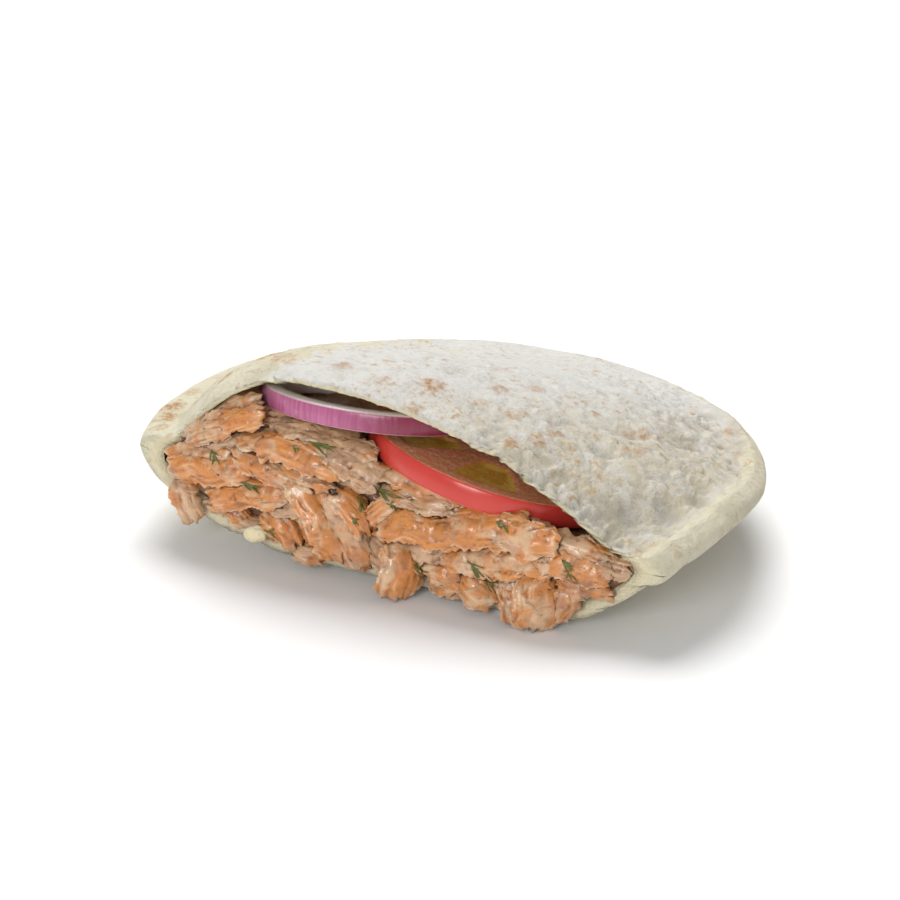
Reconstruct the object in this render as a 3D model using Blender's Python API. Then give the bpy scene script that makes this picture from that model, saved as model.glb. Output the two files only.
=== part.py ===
"""Filled pita pocket: a flat round bread cut along a chord, opened and packed with
sliced grilled meat, a tomato slice and an onion ring, lying on its belly.

The disc of bread lies about in the XY plane with its centre at the working origin.
+X runs along the mouth, +Y into the pocket and +Z up. Lengths are in millimetres
until a mesh is written. At the end everything moves so that the middle of the
bounding box's underside is at the world origin.
"""
import math

import bmesh
import bpy
from mathutils import Matrix, Vector, noise

MM = 0.001

# Bread disc and its cut
DISC_R = 78.0
CHORD = 34.0
RIM_Z = 21.8
RIM_SLOPE_X = -0.0215
RIM_SLOPE_Y = -0.0427
RIM_HALF = 3.5
RIM_ROUND = 5.0
CORNER_SAG = 3.0
RIGHT_RISE = 2.6

# Upper layer: a dome that stands on the flat brim
DOME_H = 22.5
PEAK_X = -12.0
BRIM_R_LEFT = 69.0
BRIM_R_RIGHT = 65.0
RING_BUMP = 2.6
LUMP = 0.7
LUMP_SIZE = 21.0

# Lower layer: a flat belly whose side flares at the mouth and rises gently to a
# flat brim behind it, with a lifted front lip
BELLY_Q = 0.70
BELLY_POWER = 1.45
RIGHT_BELLY_Q = 0.70
RIGHT_BELLY_END = 0.95
RIGHT_BELLY_POWER = 1.8
BACK_BELLY_Q = 0.20
BACK_BRIM_Q = 0.99
LIP_LIFT = 1.9
LIP_LIFT_LEFT = 2.6

# Bread thickness and the pocket inside
TOP_T = 2.5
BOTTOM_T = 2.7
POCKET_R = 71.5
POCKET_ROUND = 4.0

# Filling
FILL_GAP = 0.7
FILL_R = 70.5
FILL_FRONT = 34.8
SHELF_END = 27.6
PIECE_GAP = 0.4
SLICE_INSET = 0.45

TOMATO_R = 32.0
TOMATO_T = 5.6
TOMATO_AT = (16.2, -6.5, 28.4)
TOMATO_SLOPE = (-0.22, -0.21)

ONION_A = 27.0
ONION_B = 18.5
ONION_WALL = 4.2
ONION_T = 4.9
ONION_AT = (-14.6, -17.5, 42.3)
ONION_SLOPE = (0.0, -0.18)

GARLIC_SIZE = (6.5, 3.2, 4.4)
GARLIC_AT = (-36.6, -37.6, 8.6)

# Meat slices that show in the mouth. Each has the ends of its middle line as
# (x, z), how far it stands out of the mouth there, width, thickness, the turn
# about its own length in degrees, and its bow.
SLICES = [
    ((-57.0, 28.6), (-37.5, 37.0), 0.6, 0.8, 3.6, 5.0, 10, 1.0),
    ((-48.5, 34.0), (-38.0, 37.5), 1.4, 1.6, 4.6, 4.0, 0, 0.8),
    ((-55.0, 28.0), (-39.0, 31.5), 1.2, 1.0, 4.8, 4.0, 20, 0.6),
    ((-61.0, 22.6), (-44.5, 23.4), 1.4, 2.4, 6.0, 3.4, 25, 1.2),
    ((-52.0, 22.0), (-34.0, 24.0), 0.8, 0.6, 5.5, 4.0, 35, 0.5),
    ((-55.6, 17.5), (-54.4, 8.6), 1.0, 1.6, 4.4, 3.2, 0, 0.6),
    ((-51.0, 16.5), (-31.5, 20.5), 1.6, 1.4, 7.6, 3.6, 15, 0.8),
    ((-43.5, 14.0), (-26.5, 5.6), 1.8, 2.0, 8.6, 4.0, -10, 1.0),
    ((-42.5, 31.5), (-17.0, 23.5), 2.0, 3.0, 5.6, 4.0, 15, 1.4),
    ((-25.6, 28.0), (-11.5, 5.4), 2.6, 3.6, 7.4, 4.4, -15, 1.6),
    ((-19.0, 26.0), (-4.0, 5.6), 1.0, 2.2, 7.6, 4.4, 10, 1.0),
    ((-33.5, 35.0), (-4.5, 27.2), 1.2, 2.4, 8.0, 4.6, 30, 1.0),
    ((-37.0, 34.0), (-8.0, 31.6), 0.6, 1.0, 5.6, 4.0, 35, 0.8),
    ((-12.0, 26.0), (-3.4, 13.6), 1.8, 2.8, 9.0, 4.0, 5, 1.2),
    ((-4.0, 26.0), (15.6, 25.4), 1.6, 2.0, 5.6, 3.6, 40, 0.8),
    ((-3.0, 19.0), (25.0, 22.6), 3.2, 4.0, 10.0, 4.2, 28, 1.0),
    ((18.0, 22.6), (45.5, 23.2), 4.0, 3.2, 8.6, 3.8, 30, 0.8),
    ((13.0, 12.4), (37.0, 15.4), 2.4, 2.8, 7.6, 4.0, 20, 0.8),
    ((30.0, 15.4), (57.0, 18.6), 2.4, 1.2, 7.6, 4.0, 25, 0.6),
    ((44.0, 20.6), (60.0, 18.0), 1.8, 0.8, 6.6, 4.6, 15, 0.8),
    ((3.0, 14.0), (12.0, 3.4), 2.6, 4.2, 11.0, 4.2, -5, 1.6),
    ((9.0, 9.6), (28.0, 8.4), 1.8, 2.4, 7.4, 4.4, 10, 0.8),
    ((22.0, 10.6), (34.6, 4.6), 2.0, 3.4, 8.6, 4.6, -5, 1.2),
    ((35.0, 12.6), (42.0, 3.0), 2.4, 4.4, 11.4, 4.4, 0, 1.6),
    ((43.0, 11.0), (52.0, 7.4), 2.0, 3.0, 9.0, 4.4, 10, 1.2),
    ((-42.5, 9.4), (-26.0, 4.6), 0.8, 1.0, 4.6, 4.0, 10, 0.4),
]

# Mesh resolution
BREAD_SECTIONS = 19
BREAD_LOOP = 56
POCKET_SECTIONS = 12
FILL_SECTIONS = 12
FILL_LOOP = 36
SLICE_STEPS = 4
SLICE_SIDES = 6
ROUND_STEPS = 40


def smooth(a, b, v):
    """Smooth step from 0 at a to 1 at b."""
    t = min(1.0, max(0.0, (v - a) / (b - a)))
    return t * t * (3.0 - 2.0 * t)


def rounded(d, width, power):
    """Rounded shoulder: 0 at the edge, 1 from width inwards."""
    t = 1.0 - min(1.0, max(0.0, d / width))
    return (1.0 - t ** power) ** (1.0 / power)


def rim_z(x, y):
    """Height of the middle of the rim: low at the mouth's right corner, high beyond it."""
    sag = CORNER_SAG * smooth(46.0, 68.0, x) * (1.0 - smooth(-30.0, -6.0, y))
    rise = RIGHT_RISE * smooth(35.0, 68.0, x) * smooth(-34.0, -26.0, y) * (1.0 - smooth(-2.0, 30.0, y))
    return RIM_Z + RIM_SLOPE_X * x + RIM_SLOPE_Y * y - sag + rise


def dome(x, y):
    """Height of the upper layer over the brim."""
    dx = x - PEAK_X
    dy = max(y + CHORD, 0.0)
    reach = math.hypot(dx, dy)
    if reach < 1e-6:
        return DOME_H
    dx /= reach
    dy /= reach
    brim = 0.5 * (BRIM_R_RIGHT + BRIM_R_LEFT) + 0.5 * (BRIM_R_RIGHT - BRIM_R_LEFT) * dx
    along = PEAK_X * dx - CHORD * dy
    full = -along + math.sqrt(along ** 2 - PEAK_X ** 2 - CHORD ** 2 + brim ** 2)
    turn = math.degrees(math.atan2(dy, dx))
    power = 1.9 - 0.25 * smooth(20.0, 90.0, turn) + 1.55 * smooth(95.0, 170.0, turn)
    rise = 1.0 - (reach / full) ** power
    rise = 0.5 * (rise + math.sqrt(rise * rise + 0.004))
    bump = math.exp(-((x + 18.0) / 26.0) ** 4 - ((y + 8.0) / 24.0) ** 4)
    lump = noise.noise(Vector((x / LUMP_SIZE, y / LUMP_SIZE, 3.7)))
    return DOME_H * rise + RING_BUMP * bump + LUMP * lump


def bread_top(x, y):
    """Outside of the upper layer."""
    edge = rounded(DISC_R - math.hypot(x, y), RIM_ROUND, 2.4)
    return rim_z(x, y) + RIM_HALF * edge + dome(x, y) * edge


def bread_bottom(x, y):
    """Outside of the lower layer; the belly is flat at height 0."""
    radius = math.hypot(x, y)
    edge = rounded(DISC_R - radius, RIM_ROUND, 2.4)
    q = radius / DISC_R
    left = min(1.0, max(0.0, q - BELLY_Q) / (1.0 - BELLY_Q)) ** BELLY_POWER
    right = min(1.0, max(0.0, q - RIGHT_BELLY_Q) / (RIGHT_BELLY_END - RIGHT_BELLY_Q)) ** RIGHT_BELLY_POWER
    flare = left + (right - left) * smooth(10.0, 40.0, x)
    swell = smooth(BACK_BELLY_Q, BACK_BRIM_Q, q)
    side = (rim_z(x, y) - RIM_HALF) * (flare + (swell - flare) * smooth(-36.0, -22.0, y))
    lift = LIP_LIFT * (1.0 - smooth(0.0, 32.0, x)) * smooth(-68.0, -52.0, x)
    lift += LIP_LIFT_LEFT * math.exp(-((x + 43.0) / 9.0) ** 2)
    lift *= 1.0 - smooth(-CHORD, -8.0, y)
    return side + RIM_HALF * (1.0 - edge) + lift * edge


def slant(surface, x, y):
    """How much longer the upright thickness is than the true one."""
    step = 1.0
    sx = (surface(x + step, y) - surface(x - step, y)) / (2.0 * step)
    sy = (surface(x, y + step) - surface(x, y - step)) / (2.0 * step)
    return min(1.5, math.sqrt(1.0 + sx * sx + sy * sy))


def pocket_heights(x, y):
    """Upper and lower inside of the pocket at one place."""
    high = bread_top(x, y) - TOP_T * slant(bread_top, x, y)
    low = bread_bottom(x, y) + BOTTOM_T * slant(bread_bottom, x, y)
    close = rounded(POCKET_R - math.hypot(x, y), POCKET_ROUND, 2.0)
    middle = 0.5 * (high + low)
    half = 0.5 * (high - low) * close
    return middle + half, middle - half


def layer_under(at, slope, thick, x, y):
    """Height just under a round slice, carried on as a plane."""
    return at[2] + slope[0] * (x - at[0]) + slope[1] * (y - at[1]) - thick - 2.0 * PIECE_GAP


def shelf_height(x, y):
    """Height of the meat that carries the onion ring and the tomato slice."""
    under_onion = layer_under(ONION_AT, ONION_SLOPE, ONION_T, x, y)
    under_tomato = layer_under(TOMATO_AT, TOMATO_SLOPE, TOMATO_T, x, y)
    mix = smooth(-24.0, -10.0, x)
    return under_onion + (under_tomato - under_onion) * mix


def fill_heights(x, y):
    """Upper and lower face of the filling's core."""
    high, low = pocket_heights(x, y)
    open_front = smooth(-41.0, -35.0, x) * (1.0 - smooth(46.0, 54.0, x))
    open_front *= 1.0 - smooth(-SHELF_END, -SHELF_END + 6.0, y)
    high -= open_front * max(0.0, high - shelf_height(x, y))
    close = rounded(FILL_R - math.hypot(x, y), POCKET_ROUND, 2.0)
    middle = 0.5 * (high + low)
    half = (0.5 * (high - low) - FILL_GAP) * close
    return middle + half, middle - half


def loop_points(radius, y, count, heights):
    """Closed loop round one upright section of a disc-shaped body."""
    half = math.sqrt(max(radius * radius - y * y, 0.0))
    points = []
    for k in range(count):
        turn = 2.0 * math.pi * k / count
        x = half * math.cos(turn)
        high, low = heights(x, y)
        rise = math.sin(turn)
        if abs(rise) < 1e-9:
            z = 0.5 * (high + low)
        else:
            z = high if rise > 0.0 else low
        points.append(Vector((x, y, z)))
    return points


def section_rows(radius, front, sections, count, heights):
    """Sections from the front plane back to the pole of a disc-shaped body."""
    first = math.asin(-front / radius)
    rows = []
    for i in range(sections):
        turn = first + (0.5 * math.pi - first) * i / sections
        rows.append(loop_points(radius, radius * math.sin(turn), count, heights))
    high, low = heights(0.0, radius)
    return rows, Vector((0.0, radius, 0.5 * (high + low)))


def add_rows(bm, rows, pole):
    """Skin over the sections, closed at the pole. Returns the vertex rows."""
    grid = [[bm.verts.new(p) for p in row] for row in rows]
    tip = bm.verts.new(pole)
    count = len(rows[0])
    for a, b in zip(grid, grid[1:]):
        for k in range(count):
            n = (k + 1) % count
            bm.faces.new((a[k], a[n], b[n], b[k]))
    for k in range(count):
        bm.faces.new((grid[-1][k], grid[-1][(k + 1) % count], tip))
    return grid


def finish_mesh(bm, name, keep_quads=False):
    """Turn faces outwards, scale to metres and make the object."""
    bmesh.ops.recalc_face_normals(bm, faces=bm.faces)
    if not keep_quads:
        bmesh.ops.triangulate(bm, faces=bm.faces)
    bmesh.ops.scale(bm, vec=(MM, MM, MM), verts=bm.verts)
    mesh = bpy.data.meshes.new(name)
    bm.to_mesh(mesh)
    bm.free()
    mesh.shade_smooth()
    obj = bpy.data.objects.new(name, mesh)
    bpy.context.scene.collection.objects.link(obj)
    return obj


def bread_heights(x, y):
    """Outside faces of the bread."""
    return bread_top(x, y), bread_bottom(x, y)


def make_pita():
    """One piece of bread: outer skin, pocket and the cut edge between them."""
    bm = bmesh.new()
    rows, pole = section_rows(DISC_R, CHORD, BREAD_SECTIONS, BREAD_LOOP, bread_heights)
    outer = add_rows(bm, rows, pole)
    rows, pole = section_rows(POCKET_R, CHORD, POCKET_SECTIONS, BREAD_LOOP, pocket_heights)
    inner = add_rows(bm, rows, pole)
    for k in range(BREAD_LOOP):
        n = (k + 1) % BREAD_LOOP
        bm.faces.new((outer[0][k], outer[0][n], inner[0][n], inner[0][k]))
    return finish_mesh(bm, "pita")


def slice_frame(start, end, turn):
    """Axis, face direction and side direction of a slice."""
    axis = (end - start).normalized()
    face = Vector((0.35, -0.85, 0.40))
    face = (face - axis * face.dot(axis)).normalized()
    face = Matrix.Rotation(math.radians(turn), 3, axis) @ face
    return axis, face, axis.cross(face)


def keep_in_pocket(p):
    """Hold the part of a slice that is behind the mouth inside the pocket."""
    if p.y < -CHORD - 0.6:
        return p
    high, low = fill_heights(p.x, p.y)
    p.z = min(max(p.z, low + SLICE_INSET), high - SLICE_INSET)
    return p


def make_slice(index, spec):
    """One bent slice of meat with blunt ends."""
    first, last, out_a, out_b, width, thick, turn, bow = spec
    start = Vector((first[0], -FILL_FRONT - out_a + 0.8, first[1]))
    end = Vector((last[0], -FILL_FRONT - out_b + 0.8, last[1]))
    axis, face, side = slice_frame(start, end, turn)
    bm = bmesh.new()
    rows = []
    for i in range(SLICE_STEPS + 1):
        t = i / SLICE_STEPS
        middle = start.lerp(end, t) + face * bow * 4.0 * t * (1.0 - t)
        fullness = 0.62 + 0.38 * rounded(min(t, 1.0 - t), 0.3, 2.0)
        row = []
        for k in range(SLICE_SIDES):
            a = 2.0 * math.pi * k / SLICE_SIDES
            across = side * (0.5 * width * fullness * math.cos(a))
            through = face * (0.5 * thick * fullness * math.sin(a) * 1.1)
            row.append(bm.verts.new(keep_in_pocket(middle + across + through)))
        rows.append(row)
    for a, b in zip(rows, rows[1:]):
        for k in range(SLICE_SIDES):
            n = (k + 1) % SLICE_SIDES
            bm.faces.new((a[k], a[n], b[n], b[k]))
    bm.faces.new(rows[0])
    bm.faces.new(rows[-1])
    return finish_mesh(bm, "slice_cut_%02d" % index)


def round_frame(at, slope):
    """Matrix that lays a round slice at its place and slope."""
    normal = Vector((-slope[0], -slope[1], 1.0)).normalized()
    along = Vector((1.0, 0.0, slope[0])).normalized()
    across = normal.cross(along)
    turn = Matrix((along, across, normal)).transposed().to_4x4()
    return Matrix.Translation(Vector(at)) @ turn


def tomato_radius(a):
    """Slightly uneven outline of the tomato slice."""
    return TOMATO_R * (1.0 + 0.012 * math.cos(2.0 * a + 0.5) + 0.008 * math.cos(5.0 * a))


def make_tomato():
    """Thick round slice with a bulging skin side, its top face at height 0."""
    profile = [(-4.0, 0.0), (-0.5, -0.15), (0.0, -0.9), (0.25, -0.5 * TOMATO_T)]
    profile += [(-0.1, -TOMATO_T + 0.9), (-0.7, -TOMATO_T + 0.1), (-4.0, -TOMATO_T)]
    bm = bmesh.new()
    rows = []
    for inset, z in profile:
        row = []
        for k in range(ROUND_STEPS):
            a = 2.0 * math.pi * k / ROUND_STEPS
            r = tomato_radius(a) + inset
            row.append(bm.verts.new((r * math.cos(a), r * math.sin(a), z)))
        rows.append(row)
    for a, b in zip(rows, rows[1:]):
        for k in range(ROUND_STEPS):
            n = (k + 1) % ROUND_STEPS
            bm.faces.new((a[k], a[n], b[n], b[k]))
    bm.faces.new(rows[0])
    bm.faces.new(rows[-1])
    bm.transform(round_frame(TOMATO_AT, TOMATO_SLOPE))
    return finish_mesh(bm, "tomato_slice")


def ring_rows(bm, offsets):
    """Rows of a closed oval ring; offsets are (outward, up) round its section."""
    rows = []
    for out, z in offsets:
        row = []
        for k in range(ROUND_STEPS):
            a = 2.0 * math.pi * k / ROUND_STEPS
            x = (ONION_A + out) * math.cos(a)
            y = (ONION_B + out) * math.sin(a)
            row.append(bm.verts.new((x, y, z)))
        rows.append(row)
    for i, a in enumerate(rows):
        b = rows[(i + 1) % len(rows)]
        for k in range(ROUND_STEPS):
            n = (k + 1) % ROUND_STEPS
            bm.faces.new((a[k], a[n], b[n], b[k]))


def make_onion():
    """Oval onion ring with a slightly bulging wall."""
    w = ONION_WALL
    t = ONION_T
    offsets = [(-0.4, 0.0), (0.0, -0.5), (0.2, -0.5 * t), (-0.1, -t + 0.4), (-0.5, -t)]
    offsets += [(-w + 0.4, -t), (-w, -0.5 * t), (-w + 0.3, 0.0)]
    bm = bmesh.new()
    ring_rows(bm, offsets)
    bm.transform(round_frame(ONION_AT, ONION_SLOPE))
    return finish_mesh(bm, "onion_ring")


def make_garlic():
    """Small pale garlic piece that lies against the meat."""
    bm = bmesh.new()
    bmesh.ops.create_icosphere(bm, subdivisions=2, radius=0.5)
    for v in bm.verts:
        v.co.x *= GARLIC_SIZE[0] * (1.0 + 0.12 * v.co.z)
        v.co.y *= GARLIC_SIZE[1]
        v.co.z *= GARLIC_SIZE[2] * (1.0 + 0.10 * math.sin(5.0 * v.co.x))
    tilt = Matrix.Rotation(math.radians(-12.0), 4, "Y")
    bm.transform(Matrix.Translation(Vector(GARLIC_AT)) @ tilt)
    return finish_mesh(bm, "garlic_piece")


def as_cutter(obj):
    """Mark an object as a tool of the modifiers and not a piece."""
    obj.hide_render = True
    obj.display_type = "WIRE"


def make_tomato_cutter():
    """Room for the tomato slice."""
    bm = bmesh.new()
    high = []
    low = []
    for k in range(ROUND_STEPS):
        a = 2.0 * math.pi * k / ROUND_STEPS
        r = tomato_radius(a) + 0.25 + PIECE_GAP
        low.append(bm.verts.new((r * math.cos(a), r * math.sin(a), -TOMATO_T - PIECE_GAP)))
        high.append(bm.verts.new((r * math.cos(a), r * math.sin(a), PIECE_GAP)))
    for k in range(ROUND_STEPS):
        n = (k + 1) % ROUND_STEPS
        bm.faces.new((low[k], low[n], high[n], high[k]))
    bm.faces.new(low)
    bm.faces.new(high)
    bm.transform(round_frame(TOMATO_AT, TOMATO_SLOPE))
    cutter = finish_mesh(bm, "tomato_cut")
    as_cutter(cutter)
    return cutter


def make_onion_cutter():
    """Room for the onion ring and everything over its wall."""
    g = PIECE_GAP
    bm = bmesh.new()
    low = -ONION_T - g
    ring_rows(bm, [(0.2 + g, 20.0), (0.2 + g, low), (-ONION_WALL - g, low), (-ONION_WALL - g, 20.0)])
    bm.transform(round_frame(ONION_AT, ONION_SLOPE))
    cutter = finish_mesh(bm, "onion_cut")
    as_cutter(cutter)
    return cutter


def make_garlic_cutter(garlic):
    """Room for the garlic piece."""
    cutter = bpy.data.objects.new("garlic_cut", garlic.data.copy())
    bpy.context.scene.collection.objects.link(cutter)
    middle = Vector(GARLIC_AT) * MM
    swell = Matrix.Scale(1.0 + 2.2 * PIECE_GAP / GARLIC_SIZE[1], 4)
    cutter.data.transform(Matrix.Translation(middle) @ swell @ Matrix.Translation(-middle))
    as_cutter(cutter)
    return cutter


def make_filling(cutters):
    """Core that fills the pocket, joined with the slices at the mouth."""
    bm = bmesh.new()
    rows, pole = section_rows(FILL_R, CHORD - 1.2, FILL_SECTIONS, FILL_LOOP, fill_heights)
    front = [Vector((p.x * 0.985, -FILL_FRONT, p.z)) for p in rows[0]]
    rows.insert(1, loop_points(FILL_R, -SHELF_END, FILL_LOOP, fill_heights))
    grid = add_rows(bm, [front] + rows, pole)
    bm.faces.new(grid[0])
    core = finish_mesh(bm, "meat_filling")
    group = bpy.data.collections.new("slices")
    bpy.context.scene.collection.children.link(group)
    for index, spec in enumerate(SLICES):
        piece = make_slice(index, spec)
        bpy.context.scene.collection.objects.unlink(piece)
        group.objects.link(piece)
        as_cutter(piece)
    join = core.modifiers.new("join slices", "BOOLEAN")
    join.operation = "UNION"
    join.operand_type = "COLLECTION"
    join.collection = group
    join.solver = "EXACT"
    for cutter in cutters:
        cut = core.modifiers.new("cut " + cutter.name, "BOOLEAN")
        cut.operation = "DIFFERENCE"
        cut.object = cutter
        cut.solver = "EXACT"
    return core, list(group.objects)


def give_material(obj, name, colour, roughness):
    """Own Principled material for one piece."""
    material = bpy.data.materials.new(name)
    material.use_nodes = True
    shader = material.node_tree.nodes["Principled BSDF"]
    shader.inputs["Base Color"].default_value = (*colour, 1.0)
    shader.inputs["Roughness"].default_value = roughness
    shader.inputs["Metallic"].default_value = 0.0
    obj.data.materials.append(material)


def stand_on_origin(objects, tools):
    """Move everything so that the middle of the underside is at the origin."""
    bpy.context.view_layer.update()
    graph = bpy.context.evaluated_depsgraph_get()
    points = []
    for obj in objects:
        shape = obj.evaluated_get(graph).data
        points += [obj.matrix_world @ v.co for v in shape.vertices]
    low = Vector([min(p[i] for p in points) for i in range(3)])
    high = Vector([max(p[i] for p in points) for i in range(3)])
    shift = Vector((-0.5 * (low.x + high.x), -0.5 * (low.y + high.y), -low.z))
    for obj in objects + tools:
        obj.location = shift


def main():
    for obj in list(bpy.data.objects):
        bpy.data.objects.remove(obj, do_unlink=True)
    pita = make_pita()
    tomato = make_tomato()
    onion = make_onion()
    garlic = make_garlic()
    cutters = [make_tomato_cutter(), make_onion_cutter(), make_garlic_cutter(garlic)]
    filling, slices = make_filling(cutters)
    give_material(pita, "bread", (0.78, 0.74, 0.64), 0.85)
    give_material(filling, "meat", (0.55, 0.30, 0.16), 0.45)
    give_material(tomato, "tomato", (0.62, 0.07, 0.05), 0.25)
    give_material(onion, "onion", (0.48, 0.16, 0.32), 0.35)
    give_material(garlic, "garlic", (0.80, 0.72, 0.42), 0.45)
    stand_on_origin([pita, filling, tomato, onion, garlic], cutters + slices)


main()
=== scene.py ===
"""Looks of the filled pita pocket: floury flat bread, sliced grilled meat, a tomato
slice, a red onion ring, garlic and dill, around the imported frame.

Lengths are in millimetres in the working frame of the bread disc (centre of the disc at
x = 0, y = 0, mouth towards -Y) until a mesh is written in metres in the frame.
"""
import math
import random

import bpy
import numpy as np
from mathutils import Matrix, Vector, noise
from mathutils.bvhtree import BVHTree


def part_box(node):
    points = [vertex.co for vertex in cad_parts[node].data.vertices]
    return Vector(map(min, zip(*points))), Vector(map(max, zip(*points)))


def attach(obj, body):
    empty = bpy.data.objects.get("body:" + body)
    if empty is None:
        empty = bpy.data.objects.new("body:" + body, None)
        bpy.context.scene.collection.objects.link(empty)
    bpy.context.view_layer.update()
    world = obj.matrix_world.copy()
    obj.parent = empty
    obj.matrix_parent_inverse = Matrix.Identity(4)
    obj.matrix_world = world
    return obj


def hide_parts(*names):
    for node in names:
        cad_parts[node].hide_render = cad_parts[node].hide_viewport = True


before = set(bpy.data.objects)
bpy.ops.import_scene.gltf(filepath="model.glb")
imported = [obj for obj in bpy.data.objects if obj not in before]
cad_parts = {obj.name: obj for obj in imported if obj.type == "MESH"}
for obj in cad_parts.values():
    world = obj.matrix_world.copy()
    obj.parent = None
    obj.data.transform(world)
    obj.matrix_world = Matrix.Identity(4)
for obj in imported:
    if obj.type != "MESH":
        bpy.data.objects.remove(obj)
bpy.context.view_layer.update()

MM = 0.001
PITA_LOW, PITA_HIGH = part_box("pita")

# Bread disc and its cut, as in the model's source
DISC_R = 78.0
CHORD = 34.0
RIM_Z = 21.8
RIM_SLOPE_X = -0.0215
RIM_SLOPE_Y = -0.0427
RIM_HALF = 3.5
RIM_ROUND = 5.0
CORNER_SAG = 3.0
RIGHT_RISE = 2.6
DOME_H = 22.5
PEAK_X = -12.0
BRIM_R_LEFT = 69.0
BRIM_R_RIGHT = 65.0
RING_BUMP = 2.6
LUMP = 0.7
LUMP_SIZE = 21.0
BELLY_Q = 0.70
BELLY_POWER = 1.45
RIGHT_BELLY_Q = 0.70
RIGHT_BELLY_END = 0.95
RIGHT_BELLY_POWER = 1.8
BACK_BELLY_Q = 0.20
BACK_BRIM_Q = 0.99
LIP_LIFT = 1.9
LIP_LIFT_LEFT = 2.6
TOP_T = 2.5
BOTTOM_T = 2.7
POCKET_R = 71.5
POCKET_ROUND = 4.0
CORE_R = 70.0

# The disc's centre in the frame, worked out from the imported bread
CENTRE = Vector((0.5 * (PITA_LOW.x + PITA_HIGH.x), PITA_HIGH.y - DISC_R * MM, 0.0))

TOMATO_R = 32.0
TOMATO_T = 5.6
TOMATO_AT = (16.2, -6.5, 28.4)
TOMATO_SLOPE = (-0.22, -0.21)
ONION_A = 27.0
ONION_B = 18.5
ONION_WALL = 4.2
ONION_T = 4.9
ONION_AT = (-14.6, -17.5, 42.3)
ONION_SLOPE = (0.0, -0.18)
GARLIC_SIZE = (6.5, 3.2, 4.4)
GARLIC_AT = (-36.6, -37.6, 8.6)
GARLIC_SHIFT = (1.4, -1.0, 0.6)   # from the place of its solid

DEEPEST = -1.8   # the relief of the upper layer stays in its wall
LIP_THINNING = 0.9   # the wall of the upper layer thins out to the cut
LIP_REACH = 7.0   # how far into the pocket it does
SLICE_SPREAD = 1.16   # the tear and the flat ends take some of the width away
SLICE_THIN = 0.90
SLICE_DEPTH = 1.25   # front slices stand further out, back ones further in
CORE_SETBACK = 1.6   # from the plane of the mouth
CORE_MIDDLE_Z = 18.0   # where the rings of its front close
OUTLOOK = 6.0   # how near other meat has to be to shade a place

# How finely each piece is meshed
BREAD_SECTIONS = 190
POCKET_SECTIONS = 26
BREAD_POINTS = (320, 100)   # above and below in each section
CORE_SECTIONS = 40
CORE_POINTS = (75, 75)
CORE_RINGS = 26   # of its front
SLICE_STEP = 0.40   # between the rows of a slice, along it
SLICE_POINTS = 56   # round each row
TOMATO_POINTS = 300
ONION_POINTS = 420
GARLIC_POINTS = 40
GARLIC_RINGS = 26

MEAT_FIELDS = ("tone", "edge", "dent", "fibre")
FLOOR_HALF = 3.0   # metres

# Camera of the shown view
CAMERA_TURN = math.radians(26.0)
CAMERA_RISE = math.radians(24.0)
CAMERA_FAR = 625.0
CAMERA_LENS = 100.0

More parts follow.
